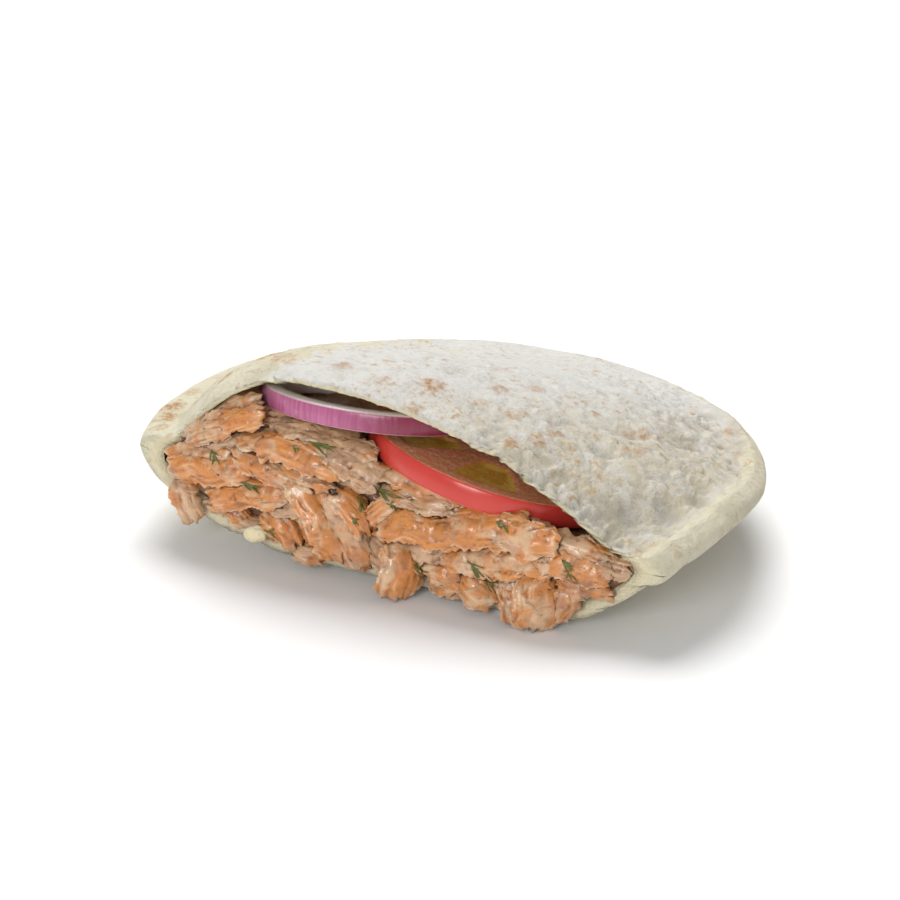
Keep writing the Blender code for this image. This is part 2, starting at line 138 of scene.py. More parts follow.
# Meat slices at the mouth: middle line from (x, z) to (x, z), how far each end stands
# out, width, thickness, turn about its length, bow, colour tone from 0 pale to 1 brown
SLICES = [
    ((-57.0, 30.2), (-36.0, 42.0), 0.2, -1.0, 6.4, 3.0, -15, 0.8, 0.70),
    ((-51.0, 33.3), (-34.0, 40.4), 0.8, 0.4, 4.6, 2.8, -10, 0.8, 0.35),
    ((-45.5, 35.0), (-33.4, 39.4), 1.8, 1.4, 4.2, 2.4, -10, 0.6, 0.10),
    ((-55.4, 28.6), (-42.5, 35.0), 1.4, 1.4, 4.0, 2.8, 0, 0.6, 0.30),
    ((-53.0, 27.6), (-40.9, 31.8), 0.4, 0.4, 4.6, 3.0, 10, 0.4, 0.90),
    ((-62.0, 23.9), (-42.2, 28.7), 1.0, 0.8, 6.4, 2.8, -10, 0.8, 0.35),
    ((-60.7, 20.6), (-37.0, 25.4), 2.0, 1.8, 7.2, 3.0, 5, 1.0, 0.05),
    ((-44.6, 30.3), (-29.1, 34.4), 0.5, 0.3, 4.6, 3.0, -15, 0.4, 0.90),
    ((-42.0, 29.0), (-18.4, 23.7), 2.2, 2.4, 5.4, 2.8, 0, 1.0, 0.30),
    ((-38.6, 25.6), (-26.6, 23.6), 0.2, 0.2, 6.0, 3.0, 0, 0.4, 1.00),
    ((-49.0, 15.4), (-27.1, 21.4), 2.0, 1.6, 7.2, 3.2, -5, 1.0, 0.15),
    ((-57.0, 19.4), (-53.4, 8.0), 1.0, 2.6, 7.2, 2.8, -10, 0.8, 0.35),
    ((-52.0, 12.6), (-43.0, 12.4), 0.4, 0.4, 4.6, 3.0, 0, 0.4, 0.50),
    ((-45.0, 14.2), (-40.0, 9.6), 0.4, 0.2, 5.6, 2.8, 0, 0.4, 0.10),
    ((-35.0, 17.0), (-22.0, 17.4), 1.0, 1.0, 5.6, 3.0, -20, 0.6, 0.60),
    ((-33.0, 15.4), (-24.6, 6.8), 1.2, 1.8, 7.4, 3.0, 5, 1.0, 0.10),
    ((-22.5, 18.0), (-18.8, 8.4), 1.0, 1.0, 6.0, 3.0, 10, 0.6, 0.30),
    ((-27.0, 5.6), (-17.0, 5.2), 0.8, 1.2, 4.6, 2.8, 0, 0.6, 0.50),
    ((-18.6, 6.6), (-4.5, 5.6), 0.5, 0.5, 4.2, 2.8, 0, 0.4, 0.45),
    ((-25.4, 27.4), (-11.0, 7.2), 2.8, 3.6, 7.6, 3.0, -12, 1.6, 0.10),
    ((-18.8, 25.4), (-4.6, 6.2), 1.4, 2.2, 7.8, 3.0, 12, 1.2, 0.35),
    ((-29.0, 28.6), (-13.6, 25.0), 1.8, 2.0, 6.0, 2.8, -5, 0.8, 0.20),
    ((-34.4, 33.6), (-11.6, 29.8), 2.2, 2.6, 7.0, 2.8, -12, 1.2, 0.10),
    ((-41.0, 32.7), (-12.0, 34.4), 0.6, 0.6, 6.0, 3.0, -25, 0.8, 0.50),
    ((-19.5, 35.0), (-1.2, 28.6), 0.9, 1.2, 7.0, 2.8, -15, 1.0, 0.75),
    ((-38.0, 38.4), (-10.0, 36.0), -3.0, -3.0, 7.0, 2.4, -45, 0.4, 0.90),
    ((-31.0, 36.8), (-4.0, 33.8), -0.9, -0.8, 6.0, 2.6, -40, 0.4, 0.75),
    ((-17.0, 26.4), (-6.0, 25.6), 0.0, 0.0, 5.0, 3.0, 0, 0.4, 1.00),
    ((-12.6, 25.4), (-3.6, 15.0), 1.8, 2.4, 7.6, 2.8, -5, 1.0, 0.15),
    ((-5.6, 17.6), (5.4, 26.0), 1.8, 1.2, 6.8, 2.8, 8, 0.8, 0.20),
    ((-2.0, 27.4), (20.3, 25.8), 0.6, 0.9, 6.8, 3.0, -20, 0.8, 0.70),
    ((-8.0, 31.0), (20.0, 27.8), -0.8, 0.2, 5.4, 2.6, -30, 0.4, 0.55),
    ((-2.0, 17.4), (23.0, 22.0), 3.0, 3.6, 8.4, 2.8, -8, 1.4, 0.15),
    ((17.0, 21.4), (45.4, 23.6), 3.4, 2.8, 7.6, 2.8, -10, 1.0, 0.20),
    ((14.8, 23.6), (37.0, 25.6), 1.8, 1.6, 5.6, 2.6, -25, 0.6, 0.20),
    ((1.0, 12.4), (17.4, 14.6), 0.6, 0.6, 6.2, 3.0, 0, 0.4, 0.80),
    ((15.0, 13.4), (43.0, 16.4), 2.2, 2.0, 7.2, 3.0, -5, 1.0, 0.25),
    ((38.0, 19.6), (58.0, 17.6), 1.8, 0.6, 8.8, 2.8, -5, 1.0, 0.30),
    ((42.0, 22.6), (57.0, 20.4), 0.2, 0.0, 5.0, 2.8, -20, 0.4, 0.50),
    ((27.0, 12.8), (43.5, 15.0), 2.8, 2.4, 4.2, 2.4, 10, 0.6, 0.00),
    ((55.0, 18.4), (61.6, 16.6), -0.2, -0.4, 5.4, 2.8, 0, 0.2, 0.70),
    ((49.0, 13.8), (57.4, 11.4), 0.6, 0.4, 5.2, 2.8, 0, 0.4, 0.40),
    ((45.0, 14.8), (53.4, 11.0), 1.2, 1.0, 6.0, 2.8, 0, 0.6, 0.55),
    ((4.0, 14.6), (5.4, 1.0), 2.4, 4.6, 10.0, 3.0, -15, 1.6, 0.15),
    ((9.0, 10.0), (20.7, 8.0), 1.2, 1.0, 6.0, 3.0, 0, 0.6, 0.30),
    ((11.5, 6.0), (24.1, 7.6), 0.9, 0.9, 6.4, 3.0, 0, 0.4, 0.20),
    ((20.6, 10.0), (29.4, 4.0), 1.8, 2.4, 8.0, 3.0, 5, 1.0, 0.10),
    ((41.8, 13.6), (40.1, 0.8), 2.2, 4.6, 11.4, 3.0, -12, 1.6, 0.20),
    ((33.0, 11.4), (37.4, 0.4), 2.8, 4.0, 6.0, 2.6, 10, 1.0, 0.45),
    ((47.6, 11.8), (44.0, 3.4), 1.4, 2.6, 7.4, 2.8, 8, 0.8, 0.50),
    ((28.7, 10.0), (34.5, 6.6), 1.4, 1.4, 5.6, 2.8, 0, 0.4, 0.60),
    ((12.0, 3.8), (29.0, 3.4), 0.4, 0.6, 4.2, 2.6, 0, 0.4, 0.70),
    ((-6.0, 12.6), (3.0, 8.0), 0.6, 0.8, 6.4, 3.0, 8, 0.6, 0.75),
    ((16.0, 26.4), (43.0, 22.8), -0.6, -0.6, 4.6, 2.4, -30, 0.4, 0.75),
    ((-45.0, 10.6), (-28.0, 7.4), -0.4, -0.2, 4.0, 2.8, 0, 0.2, 0.65),
    ((-51.0, 24.0), (-38.0, 17.6), 0.0, 0.0, 7.0, 3.0, 0, 0.4, 1.00),
]

# Dill: both ends of each sprig as (x, z) on the mouth
DILL = [
    ((-47.0, 29.1), (-44.6, 25.5)), ((-39.1, 22.1), (-33.0, 21.7)), ((-32.8, 10.4), (-29.7, 10.0)),
    ((-24.2, 34.6), (-22.3, 33.6)), ((-19.8, 36.7), (-12.8, 35.2)), ((-7.1, 24.6), (-5.0, 21.9)),
    ((-8.0, 18.9), (-6.4, 17.3)), ((-2.4, 28.7), (3.4, 26.2)), ((1.2, 24.7), (3.4, 24.4)),
    ((7.8, 10.0), (11.0, 8.1)), ((22.5, 14.1), (27.5, 10.4)), ((25.4, 10.0), (29.6, 9.1)),
    ((29.7, 25.7), (33.0, 25.2)), ((46.6, 19.6), (48.9, 15.2)),
]

# Side of the tomato slice from the cut face to the one below: distance past its radius, height
TOMATO_SIDE = [
    (-0.45, -0.06), (-0.22, -0.14), (-0.06, -0.42), (0.06, -0.95), (0.16, -1.8), (0.20, -2.8),
    (0.14, -3.8), (0.0, -4.7), (-0.2, -5.25), (-0.5, -5.5), (-1.2, -5.6),
]

# Notches of the torn upper lip: place along X, width, depth
NOTCHES = [(-33.5, 1.6, 2.6), (-27.5, 1.1, 1.6), (27.0, 2.0, 2.2), (31.5, 1.0, 1.4)]

# Strands: half width and half height in the middle, and what is left of them at the tip
NEEDLE = (0.19, 0.11)
SHRED = (0.20, 0.16)
TIP = (0.04, 0.03)
SHRED_TRIES = 150
NEEDLE_POINTS = 7
SHRED_POINTS = 6

# Broad lumps and hollows of the upper layer: place, radius, height
LUMPS = [
    ((52.0, -1.0), 8.0, 1.7), ((61.0, 13.0), 7.0, 1.2), ((38.0, -12.0), 8.0, 0.5),
    ((20.0, 10.0), 12.0, 0.5), ((63.5, -16.0), 4.5, -1.4), ((57.0, -25.0), 5.0, -1.4),
    ((45.0, 6.0), 4.6, -1.3), ((67.0, -6.0), 3.6, -1.4), ((0.0, 20.0), 14.0, 0.4),
    ((44.0, -9.5), 4.0, -1.5), ((35.0, 24.0), 9.0, 0.6), ((63.0, 34.0), 7.0, 0.7),
    ((52.0, 22.0), 5.0, -1.1), ((69.0, 6.0), 4.0, 0.6), ((26.0, -6.0), 6.0, -0.4),
]

# Toasted spots of the upper layer: place, radius, strength
SPOTS = [
    ((-72.4, -15.1), 3.2, 1.0), ((-70.0, -21.5), 3.0, 0.9), ((-67.4, -29.0), 2.2, 0.7),
    ((-60.5, -11.0), 2.6, 0.9), ((-51.0, -22.0), 2.2, 0.9), ((-43.4, -15.5), 3.8, 1.0),
    ((-36.0, -21.0), 3.4, 0.7), ((-31.5, -25.5), 2.6, 0.6), ((-74.0, -3.6), 2.6, 0.5),
    ((28.4, 4.5), 1.8, 1.0), ((30.2, 12.2), 1.4, 0.7), ((35.0, 7.6), 1.6, 0.8),
    ((43.9, 7.7), 2.4, 0.9), ((47.2, 10.6), 2.0, 1.0), ((33.3, -14.1), 1.8, 1.0),
    ((33.7, -7.7), 2.0, 0.8), ((32.4, -20.8), 2.4, 0.9), ((29.0, -28.0), 3.2, 0.9),
    ((49.5, -3.3), 2.6, 0.9), ((49.0, 38.0), 2.4, 0.8), ((59.0, 42.3), 4.0, 0.7),
    ((14.0, -3.0), 3.0, 0.7), ((19.0, 7.0), 2.8, 0.8), ((15.0, -17.0), 3.2, 0.9),
    ((22.6, -15.0), 3.2, 0.8), ((18.0, -24.0), 2.6, 0.7), ((4.0, -20.0), 4.0, 1.0),
    ((-5.4, -26.9), 3.0, 0.7), ((-17.8, -23.5), 2.6, 0.7), ((68.7, 15.3), 2.2, 0.6),
    ((5.0, -33.0), 2.4, 0.8), ((55.0, 24.0), 2.4, 0.6), ((8.0, 12.0), 2.6, 0.6),
]


def smooth(a, b, v):
    """Smooth step from 0 at a to 1 at b, whichever of the two is larger."""
    t = min(1.0, max(0.0, (v - a) / (b - a)))
    return t * t * (3.0 - 2.0 * t)


def rounded(d, width, power):
    """Rounded shoulder: 0 at the edge, 1 from width inwards."""
    t = 1.0 - min(1.0, max(0.0, d / width))
    return (1.0 - t ** power) ** (1.0 / power)


def bell(d, width):
    """1 at the middle, falling off smoothly past width."""
    return math.exp(-(d / width) ** 2)


def noise_at(x, y, z):
    """Smooth noise from about -1 to 1."""
    return noise.noise(Vector((x, y, z)))


def wander(x, y, size, seed):
    """Smooth noise over the plan, with waves of about this size."""
    return noise_at(x / size, y / size, seed)


def turns(count):
    """Angles of even steps round a circle."""
    return [2.0 * math.pi * k / count for k in range(count)]


def rim_z(x, y):
    """Height of the middle of the rim: low at the mouth's right corner, high beyond it."""
    sag = CORNER_SAG * smooth(46.0, 68.0, x) * (1.0 - smooth(-30.0, -6.0, y))
    rise = RIGHT_RISE * smooth(35.0, 68.0, x) * smooth(-34.0, -26.0, y) * (1.0 - smooth(-2.0, 30.0, y))
    return RIM_Z + RIM_SLOPE_X * x + RIM_SLOPE_Y * y - sag + rise


def dome(x, y):
    """Height of the upper layer over the brim."""
    dx = x - PEAK_X
    dy = max(y + CHORD, 0.0)
    reach = math.hypot(dx, dy)
    if reach < 1e-6:
        return DOME_H
    dx /= reach
    dy /= reach
    brim = 0.5 * (BRIM_R_RIGHT + BRIM_R_LEFT) + 0.5 * (BRIM_R_RIGHT - BRIM_R_LEFT) * dx
    along = PEAK_X * dx - CHORD * dy
    full = -along + math.sqrt(along ** 2 - PEAK_X ** 2 - CHORD ** 2 + brim ** 2)
    turn = math.degrees(math.atan2(dy, dx))
    power = 1.9 - 0.25 * smooth(20.0, 90.0, turn) + 1.55 * smooth(95.0, 170.0, turn)
    rise = 1.0 - (reach / full) ** power
    rise = 0.5 * (rise + math.sqrt(rise * rise + 0.004))
    bump = math.exp(-((x + 18.0) / 26.0) ** 4 - ((y + 8.0) / 24.0) ** 4)
    return DOME_H * rise + RING_BUMP * bump + LUMP * wander(x, y, LUMP_SIZE, 3.7)


def bread_top(x, y):
    """Height of the upper layer's outside."""
    edge = rounded(DISC_R - math.hypot(x, y), RIM_ROUND, 2.4)
    return rim_z(x, y) + RIM_HALF * edge + dome(x, y) * edge


def bread_bottom(x, y):
    """Height of the underside, flared to the rim."""
    radius = math.hypot(x, y)
    edge = rounded(DISC_R - radius, RIM_ROUND, 2.4)
    q = radius / DISC_R
    left = min(1.0, max(0.0, q - BELLY_Q) / (1.0 - BELLY_Q)) ** BELLY_POWER
    right = min(1.0, max(0.0, q - RIGHT_BELLY_Q) / (RIGHT_BELLY_END - RIGHT_BELLY_Q)) ** RIGHT_BELLY_POWER
    flare = left + (right - left) * smooth(10.0, 40.0, x)
    swell = smooth(BACK_BELLY_Q, BACK_BRIM_Q, q)
    side = (rim_z(x, y) - RIM_HALF) * (flare + (swell - flare) * smooth(-36.0, -22.0, y))
    lift = LIP_LIFT * (1.0 - smooth(0.0, 32.0, x)) * smooth(-68.0, -52.0, x)
    lift += LIP_LIFT_LEFT * bell(x + 43.0, 9.0)
    lift *= 1.0 - smooth(-CHORD, -8.0, y)
    return side + RIM_HALF * (1.0 - edge) + lift * edge


def bread_heights(x, y):
    """Upper and lower outside of the bread."""
    return bread_top(x, y), bread_bottom(x, y)


def slant(surface, x, y):
    """How much longer an upright line through a wall is where the surface slopes."""
    sx = 0.5 * (surface(x + 1.0, y) - surface(x - 1.0, y))
    sy = 0.5 * (surface(x, y + 1.0) - surface(x, y - 1.0))
    return min(1.5, math.sqrt(1.0 + sx * sx + sy * sy))


def pocket_heights(x, y):
    """Upper and lower inside of the pocket."""
    high = bread_top(x, y) - TOP_T * slant(bread_top, x, y)
    low = bread_bottom(x, y) + BOTTOM_T * slant(bread_bottom, x, y)
    close = rounded(POCKET_R - math.hypot(x, y), POCKET_ROUND, 2.0)
    middle = 0.5 * (high + low)
    half = 0.5 * (high - low) * close
    return middle + half, middle - half


def cells(x, y, size, seed):
    """Rounded bubbles: 1 in the middle of a cell, 0 in the creases between cells."""
    near = noise.voronoi(Vector((x / size, y / size, seed)))[0]
    return smooth(0.0, 0.35, near[1] - near[0]) * max(0.0, 1.0 - 0.9 * near[0] ** 2)


def crease_lines(x, y, size, seed, width):
    """1 on winding creases, 0 away from them."""
    return 1.0 - smooth(0.0, width, abs(wander(x, y, size, seed)))


def lump_height(x, y):
    """Broad lumps and hollows."""
    h = 0.0
    for (cx, cy), radius, height in LUMPS:
        h += height * math.exp(-((x - cx) ** 2 + (y - cy) ** 2) / radius ** 2)
    return h


def skin_relief(x, y):
    """Leathery relief of the upper layer: lumps, blisters and fine creases."""
    h = lump_height(x, y)
    warp_x = x + 1.8 * wander(x, y, 7.0, 11.0)
    warp_y = y + 1.8 * wander(x, y, 7.0, 17.0)
    right = smooth(-5.0, 45.0, x - 0.2 * y)
    left = 1.0 - smooth(-40.0, -26.0, x)
    blisters = bell(x - 47.0, 15.0) * bell(y + 29.0, 8.0)
    strength = 0.60 + 0.55 * right
    patchy = smooth(-0.35, 0.35, wander(x, y, 14.0, 61.0))
    h += 0.55 * strength * wander(x, y, 8.5, 7.0)
    h += 0.55 * strength * (0.5 + 0.8 * patchy) * wander(warp_x, warp_y, 4.4, 9.0)
    h += 0.24 * strength * (0.3 + 0.9 * patchy) * wander(warp_x, warp_y, 2.1, 13.0)
    h += 0.11 * strength * wander(warp_x, warp_y, 1.2, 15.0)
    h += 1.30 * blisters * (cells(warp_x, warp_y, 3.4, 5.1) - 0.5)
    h += 0.50 * (0.25 + right) * (0.4 + patchy) * (cells(warp_x, warp_y, 3.3, 1.3) - 0.5)
    h -= (0.16 + 0.34 * right) * crease_lines(warp_x, warp_y, 8.0, 19.0, 0.08)
    h -= 0.24 * strength * crease_lines(warp_x, warp_y, 3.8, 23.0, 0.10)
    dent = max(0.0, wander(x, y, 3.4, 21.0) - 0.30)
    return h - 1.3 * dent * strength - 0.25 * left


def rim_relief(x, y, z):
    """Radial streaks, shallow folds and unevenness near the rim."""
    turn = math.atan2(y, x)
    near = smooth(60.0, 74.0, math.hypot(x, y))
    streak = noise_at(turn * 26.0, z * 0.10, 4.4)
    fold = noise_at(turn * 6.0, z * 0.06, 8.1)
    return near * (0.28 * streak + 0.7 * fold)


def rim_ridge(x, y):
    """Raised edge of the brim with a shallow trough inside it."""
    radius = math.hypot(x, y)
    along = smooth(30.0, 62.0, x) * (0.75 + 0.5 * wander(x, y, 9.0, 25.0))
    edge = bell(radius - 74.8, 1.4)
    trough = bell(radius - 69.5, 2.8)
    step = 0.8 * smooth(-12.0, -10.6, y) * (1.0 - smooth(-4.0, 4.0, y)) * smooth(72.0, 74.5, radius)
    return along * (edge - 0.85 * trough) + step * smooth(60.0, 70.0, x)


def flour_at(x, y):
    """How white the upper layer is: floury over the dome, bare on the brim."""
    radius = math.hypot(x, y)
    bound = -27.0 - 0.55 * max(0.0, -20.0 - y) - 0.013 * max(0.0, y) ** 1.8
    soft = 0.45 * min(60.0, max(0.0, y + 22.0))
    patches = (2.2 + 0.9 * soft) * wander(x, y, 4.0, 27.0) + 0.9 * soft * wander(x, y, 11.0, 28.0)
    over = smooth(bound - 4.0 - soft, bound + 2.0 + soft, x + patches)
    reach = 69.0 + 4.0 * smooth(20.0, 50.0, y)
    rim = 1.0 - smooth(reach, reach + 5.0, radius + 1.6 * wander(x, y, 5.0, 29.0))
    return over * rim


def toast_at(x, y):
    """Toasted spots of the upper layer."""
    spot = 0.0
    for (cx, cy), radius, strength in SPOTS:
        far = math.hypot(x - cx, (y - cy) * 0.8) / radius
        if far < 2.0:
            spot = max(spot, strength * (1.0 - smooth(0.35, 1.25, far + 0.9 * wander(x, y, 1.6, 51.0))))
    small = smooth(0.26, 0.42, wander(x, y, 1.9, 53.0)) * smooth(-0.10, 0.25, wander(x, y, 12.0, 57.0))
    small *= smooth(70.0, 62.0, math.hypot(x, y)) * smooth(66.0, 56.0, x)
    return min(1.0, max(spot, 0.75 * small))


def tear(x):
    """How far the upper lip is torn back at x, with a ragged edge."""
    notch = sum(depth * bell(x - at, width) for at, width, depth in NOTCHES)
    rag = 0.45 * noise_at(x / 2.1, 0.0, 31.0) + 0.45 * noise_at(x / 0.9, 0.0, 33.0)
    rag += 0.8 * noise_at(x / 7.0, 0.0, 35.0)
    rag += 1.4 * smooth(8.0, 28.0, x) * noise_at(x / 1.7, 0.0, 37.0)
    return notch + rag + 0.7


def lower_rag(x):
    """Uneven edge of the lower lip."""
    rag = 0.9 * noise_at(x / 6.0, 0.0, 41.0) + 0.5 * noise_at(x / 1.3, 0.0, 43.0)
    return rag + 0.6


def add_object(name, data):
    """New object in the scene with the given mesh, light or camera."""
    obj = bpy.data.objects.new(name, data)
    bpy.context.scene.collection.objects.link(obj)
    return obj


def store(mesh, name, values):
    """Keeps one number for each point of the mesh under a name."""
    layer = mesh.attributes.new(name, "FLOAT", "POINT")
    layer.data.foreach_set("value", np.array(values, dtype=np.float32))


class Batch:
    """Collects points, faces and named fields that become one mesh."""

    def __init__(self, *names):
        self.points = []
        self.faces = []
        self.fields = {name: [] for name in names}

    def add(self, point, **values):
        """Adds a point in working millimetres; a field that isn't named is 0 there."""
        self.points.append(tuple(point))
        for name, field in self.fields.items():
            field.append(values.get(name, 0.0))
        return len(self.points) - 1

    def skin(self, rows, across=False):
        """Quads between closed rows, each from a first corner along or across its row."""
        for a, b in zip(rows, rows[1:]):
            for k in range(len(a)):
                n = (k + 1) % len(a)
                self.faces.append((a[k], b[k], b[n], a[n]) if across else (a[k], a[n], b[n], b[k]))

    def cap(self, row, point, flip=False, **values):
        """Triangles from a closed row to one point more."""
        tip = self.add(point, **values)
        for k in range(len(row)):
            n = (k + 1) % len(row)
            self.faces.append((row[n], row[k], tip) if flip else (row[k], row[n], tip))

    def build(self, name, material, slot, *nodes):
        """The mesh in metres in the frame, attached to the root, with its material; the solids it stands for
        are hidden, and the slot is not used.
        """
        mesh = bpy.data.meshes.new(name)
        places = np.array(self.points, dtype=float).reshape(-1, 3) * MM + np.array(CENTRE)
        mesh.from_pydata(places.tolist(), [], self.faces)
        for field, values in self.fields.items():
            store(mesh, field, values)
        mesh.validate()
        mesh.shade_smooth()
        mesh.materials.append(material)
        obj = add_object(name, mesh)
        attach(obj, "root")
        if nodes:
            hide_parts(*nodes)
        return obj


# ---------------------------------------------------------------- materials

class Nodes:
    """Small helper that builds a node material step by step."""

    def __init__(self, name):
        self.material = bpy.data.materials.new(name)
        self.material.use_nodes = True
        self.tree = self.material.node_tree
        self.shader = self.tree.nodes["Principled BSDF"]
        self.coord = self.node("TexCoord").outputs["Object"]

    def feed(self, socket, value):
        """Sets a number or a colour on a socket, or links another node to it."""
        if isinstance(value, float):
            socket.default_value = value
        elif isinstance(value, tuple):
            socket.default_value = (*value, 1.0)
        else:
            self.tree.links.new(value, socket)

    def node(self, kind, **inputs):
        """New node with some of its inputs fed."""
        made = self.tree.nodes.new("ShaderNode" + kind)
        for name, value in inputs.items():
            self.feed(made.inputs[name.replace("_", " ")], value)
        return made

    def noise(self, scale, detail=4.0, rough=0.55, distort=0.0):
        """Even noise from 0 to 1."""
        node = self.node("TexNoise", Vector=self.coord, Scale=scale, Detail=detail)
        self.feed(node.inputs["Roughness"], rough)
        self.feed(node.inputs["Distortion"], distort)
        return node.outputs["Fac"]

    def voronoi(self, scale):
        """Distance to the nearest of many scattered points."""
        return self.node("TexVoronoi", Vector=self.coord, Scale=scale).outputs["Distance"]

    def fields(self, *names):
        """Fields stored on the mesh."""
        made = []
        for name in names:
            node = self.node("Attribute")
            node.attribute_name = name
            made.append(node.outputs["Fac"])
        return made

    def ramp(self, value, low, high, to_low=0.0, to_high=1.0):
        """Smooth step of a value between two limits."""
        node = self.node("MapRange", Value=value, From_Min=low, From_Max=high, To_Min=to_low, To_Max=to_high)
        node.interpolation_type = "SMOOTHSTEP"
        return node.outputs["Result"]

    def math(self, operation, a, b):
        """Sum or product of two values, kept from 0 to 1."""
        node = self.node("Math")
        node.operation = operation
        node.use_clamp = True
        for socket, value in zip(node.inputs, (a, b)):
            self.feed(socket, value)
        return node.outputs["Value"]

    def mix(self, factor, a, b):
        """Blend from colour a to colour b."""
        node = self.node("Mix")
        node.data_type = "RGBA"
        self.feed(node.inputs["Factor"], factor)
        for socket, value in zip([s for s in node.inputs if s.type == "RGBA"], (a, b)):
            self.feed(socket, value)
        return [s for s in node.outputs if s.type == "RGBA"][0]

    def tint(self, colour, shade, amount, share):
        """Blend of a colour towards a shade by a share of an amount."""
        return self.mix(self.math("MULTIPLY", amount, share), colour, shade)

    def bump(self, height, strength, distance):
        """Fine relief in the shading."""
        node = self.node("Bump", Strength=strength, Distance=distance, Height=height)
        self.feed(self.shader.inputs["Normal"], node.outputs["Normal"])

    def finish(self, colour, roughness, specular=0.5, subsurface=0.0, radius=0.002, coat=0.0):
        """The material, with what its shader takes."""
        inputs = {
            "Base Color": colour, "Roughness": roughness, "Specular IOR Level": specular,
            "Subsurface Weight": subsurface, "Subsurface Scale": radius,
            "Coat Weight": coat, "Coat Roughness": 0.25,
        }
        for name, value in inputs.items():
            self.feed(self.shader.inputs[name], value)
        return self.material


def bread_material():
    """Floury white top, pale yellow brim and cut, tan freckles and toasted spots; painted shade in the
    valleys and pores, and towards the front right a creamier tone that is partly painted shade.
    """
    n = Nodes("bread look")
    flour, cut, toast, valley_shade, cream_and_shade = n.fields("flour", "cut", "toast", "valley_shade", "cream_and_shade")
    white = n.mix(n.noise(110.0, 5.0, 0.65), (0.69, 0.675, 0.63), (0.82, 0.805, 0.765))
    cream = n.mix(n.noise(150.0, 5.0, 0.65), (0.57, 0.49, 0.345), (0.74, 0.69, 0.56))
    # Creamier and darker towards the front right: partly a warmer tone of the bread, partly painted shade of
    # that side.
    cream_and_shade_noise = n.math("MULTIPLY", cream_and_shade, n.ramp(n.noise(190.0, 5.0, 0.65), 0.30, 0.65, 0.25, 1.0))
    white = n.mix(cream_and_shade_noise, white, cream)
    yellow = n.mix(n.noise(130.0, 4.0, 0.6, 0.4), (0.69, 0.62, 0.43), (0.84, 0.795, 0.65))
    flour_noise = n.math("ADD", flour, n.ramp(n.noise(260.0, 5.0, 0.65), 0.3, 0.75, -0.25, 0.25))
    colour = n.mix(n.ramp(flour_noise, 0.25, 0.75), yellow, white)
    grey = n.ramp(n.noise(420.0, 5.0, 0.7), 0.42, 0.70)
    colour = n.tint(colour, (0.42, 0.395, 0.335), grey, 0.20)
    freckles = n.ramp(n.noise(380.0, 4.0, 0.65, 0.8), 0.53, 0.68)
    freckle_area = n.ramp(n.noise(75.0, 3.0, 0.6, 0.5), 0.42, 0.60)
    freckled = n.math("MULTIPLY", freckles, freckle_area)
    colour = n.tint(colour, (0.56, 0.37, 0.18), freckled, 0.75)
    # Painted shade in the valleys and creases of the relief.
    colour = n.tint(colour, (0.37, 0.345, 0.285), valley_shade, 0.68)
    toast_noise = n.math("MULTIPLY", toast, n.ramp(n.noise(650.0, 5.0, 0.7), 0.34, 0.60, 0.15, 0.95))
    colour = n.mix(toast_noise, colour, (0.46, 0.235, 0.080))
    crumb = n.mix(n.noise(800.0, 5.0, 0.65), (0.74, 0.65, 0.39), (0.93, 0.87, 0.66))
    colour = n.mix(cut, colour, crumb)
    # Dark pinprick pores: painted shade in tiny holes of the skin.
    pore_shade = n.ramp(n.voronoi(620.0), 0.0, 0.16, 1.0, 0.0)
    pore_shade = n.math("MULTIPLY", pore_shade, n.ramp(n.noise(210.0, 3.0), 0.48, 0.62, 0.0, 0.75))
    colour = n.mix(pore_shade, colour, (0.26, 0.22, 0.165))
    specks = n.ramp(n.voronoi(240.0), 0.0, 0.075, 1.0, 0.0)
    specks = n.math("MULTIPLY", specks, n.ramp(n.noise(150.0, 2.0), 0.62, 0.66))
    colour = n.mix(specks, colour, (0.14, 0.08, 0.05))
    height = n.mix(0.45, n.noise(1500.0, 4.0, 0.7), n.noise(620.0, 5.0, 0.65))
    n.bump(height, 0.9, 0.0014)
    return n.finish(colour, 0.88, specular=0.22, subsurface=0.04, radius=0.0015)


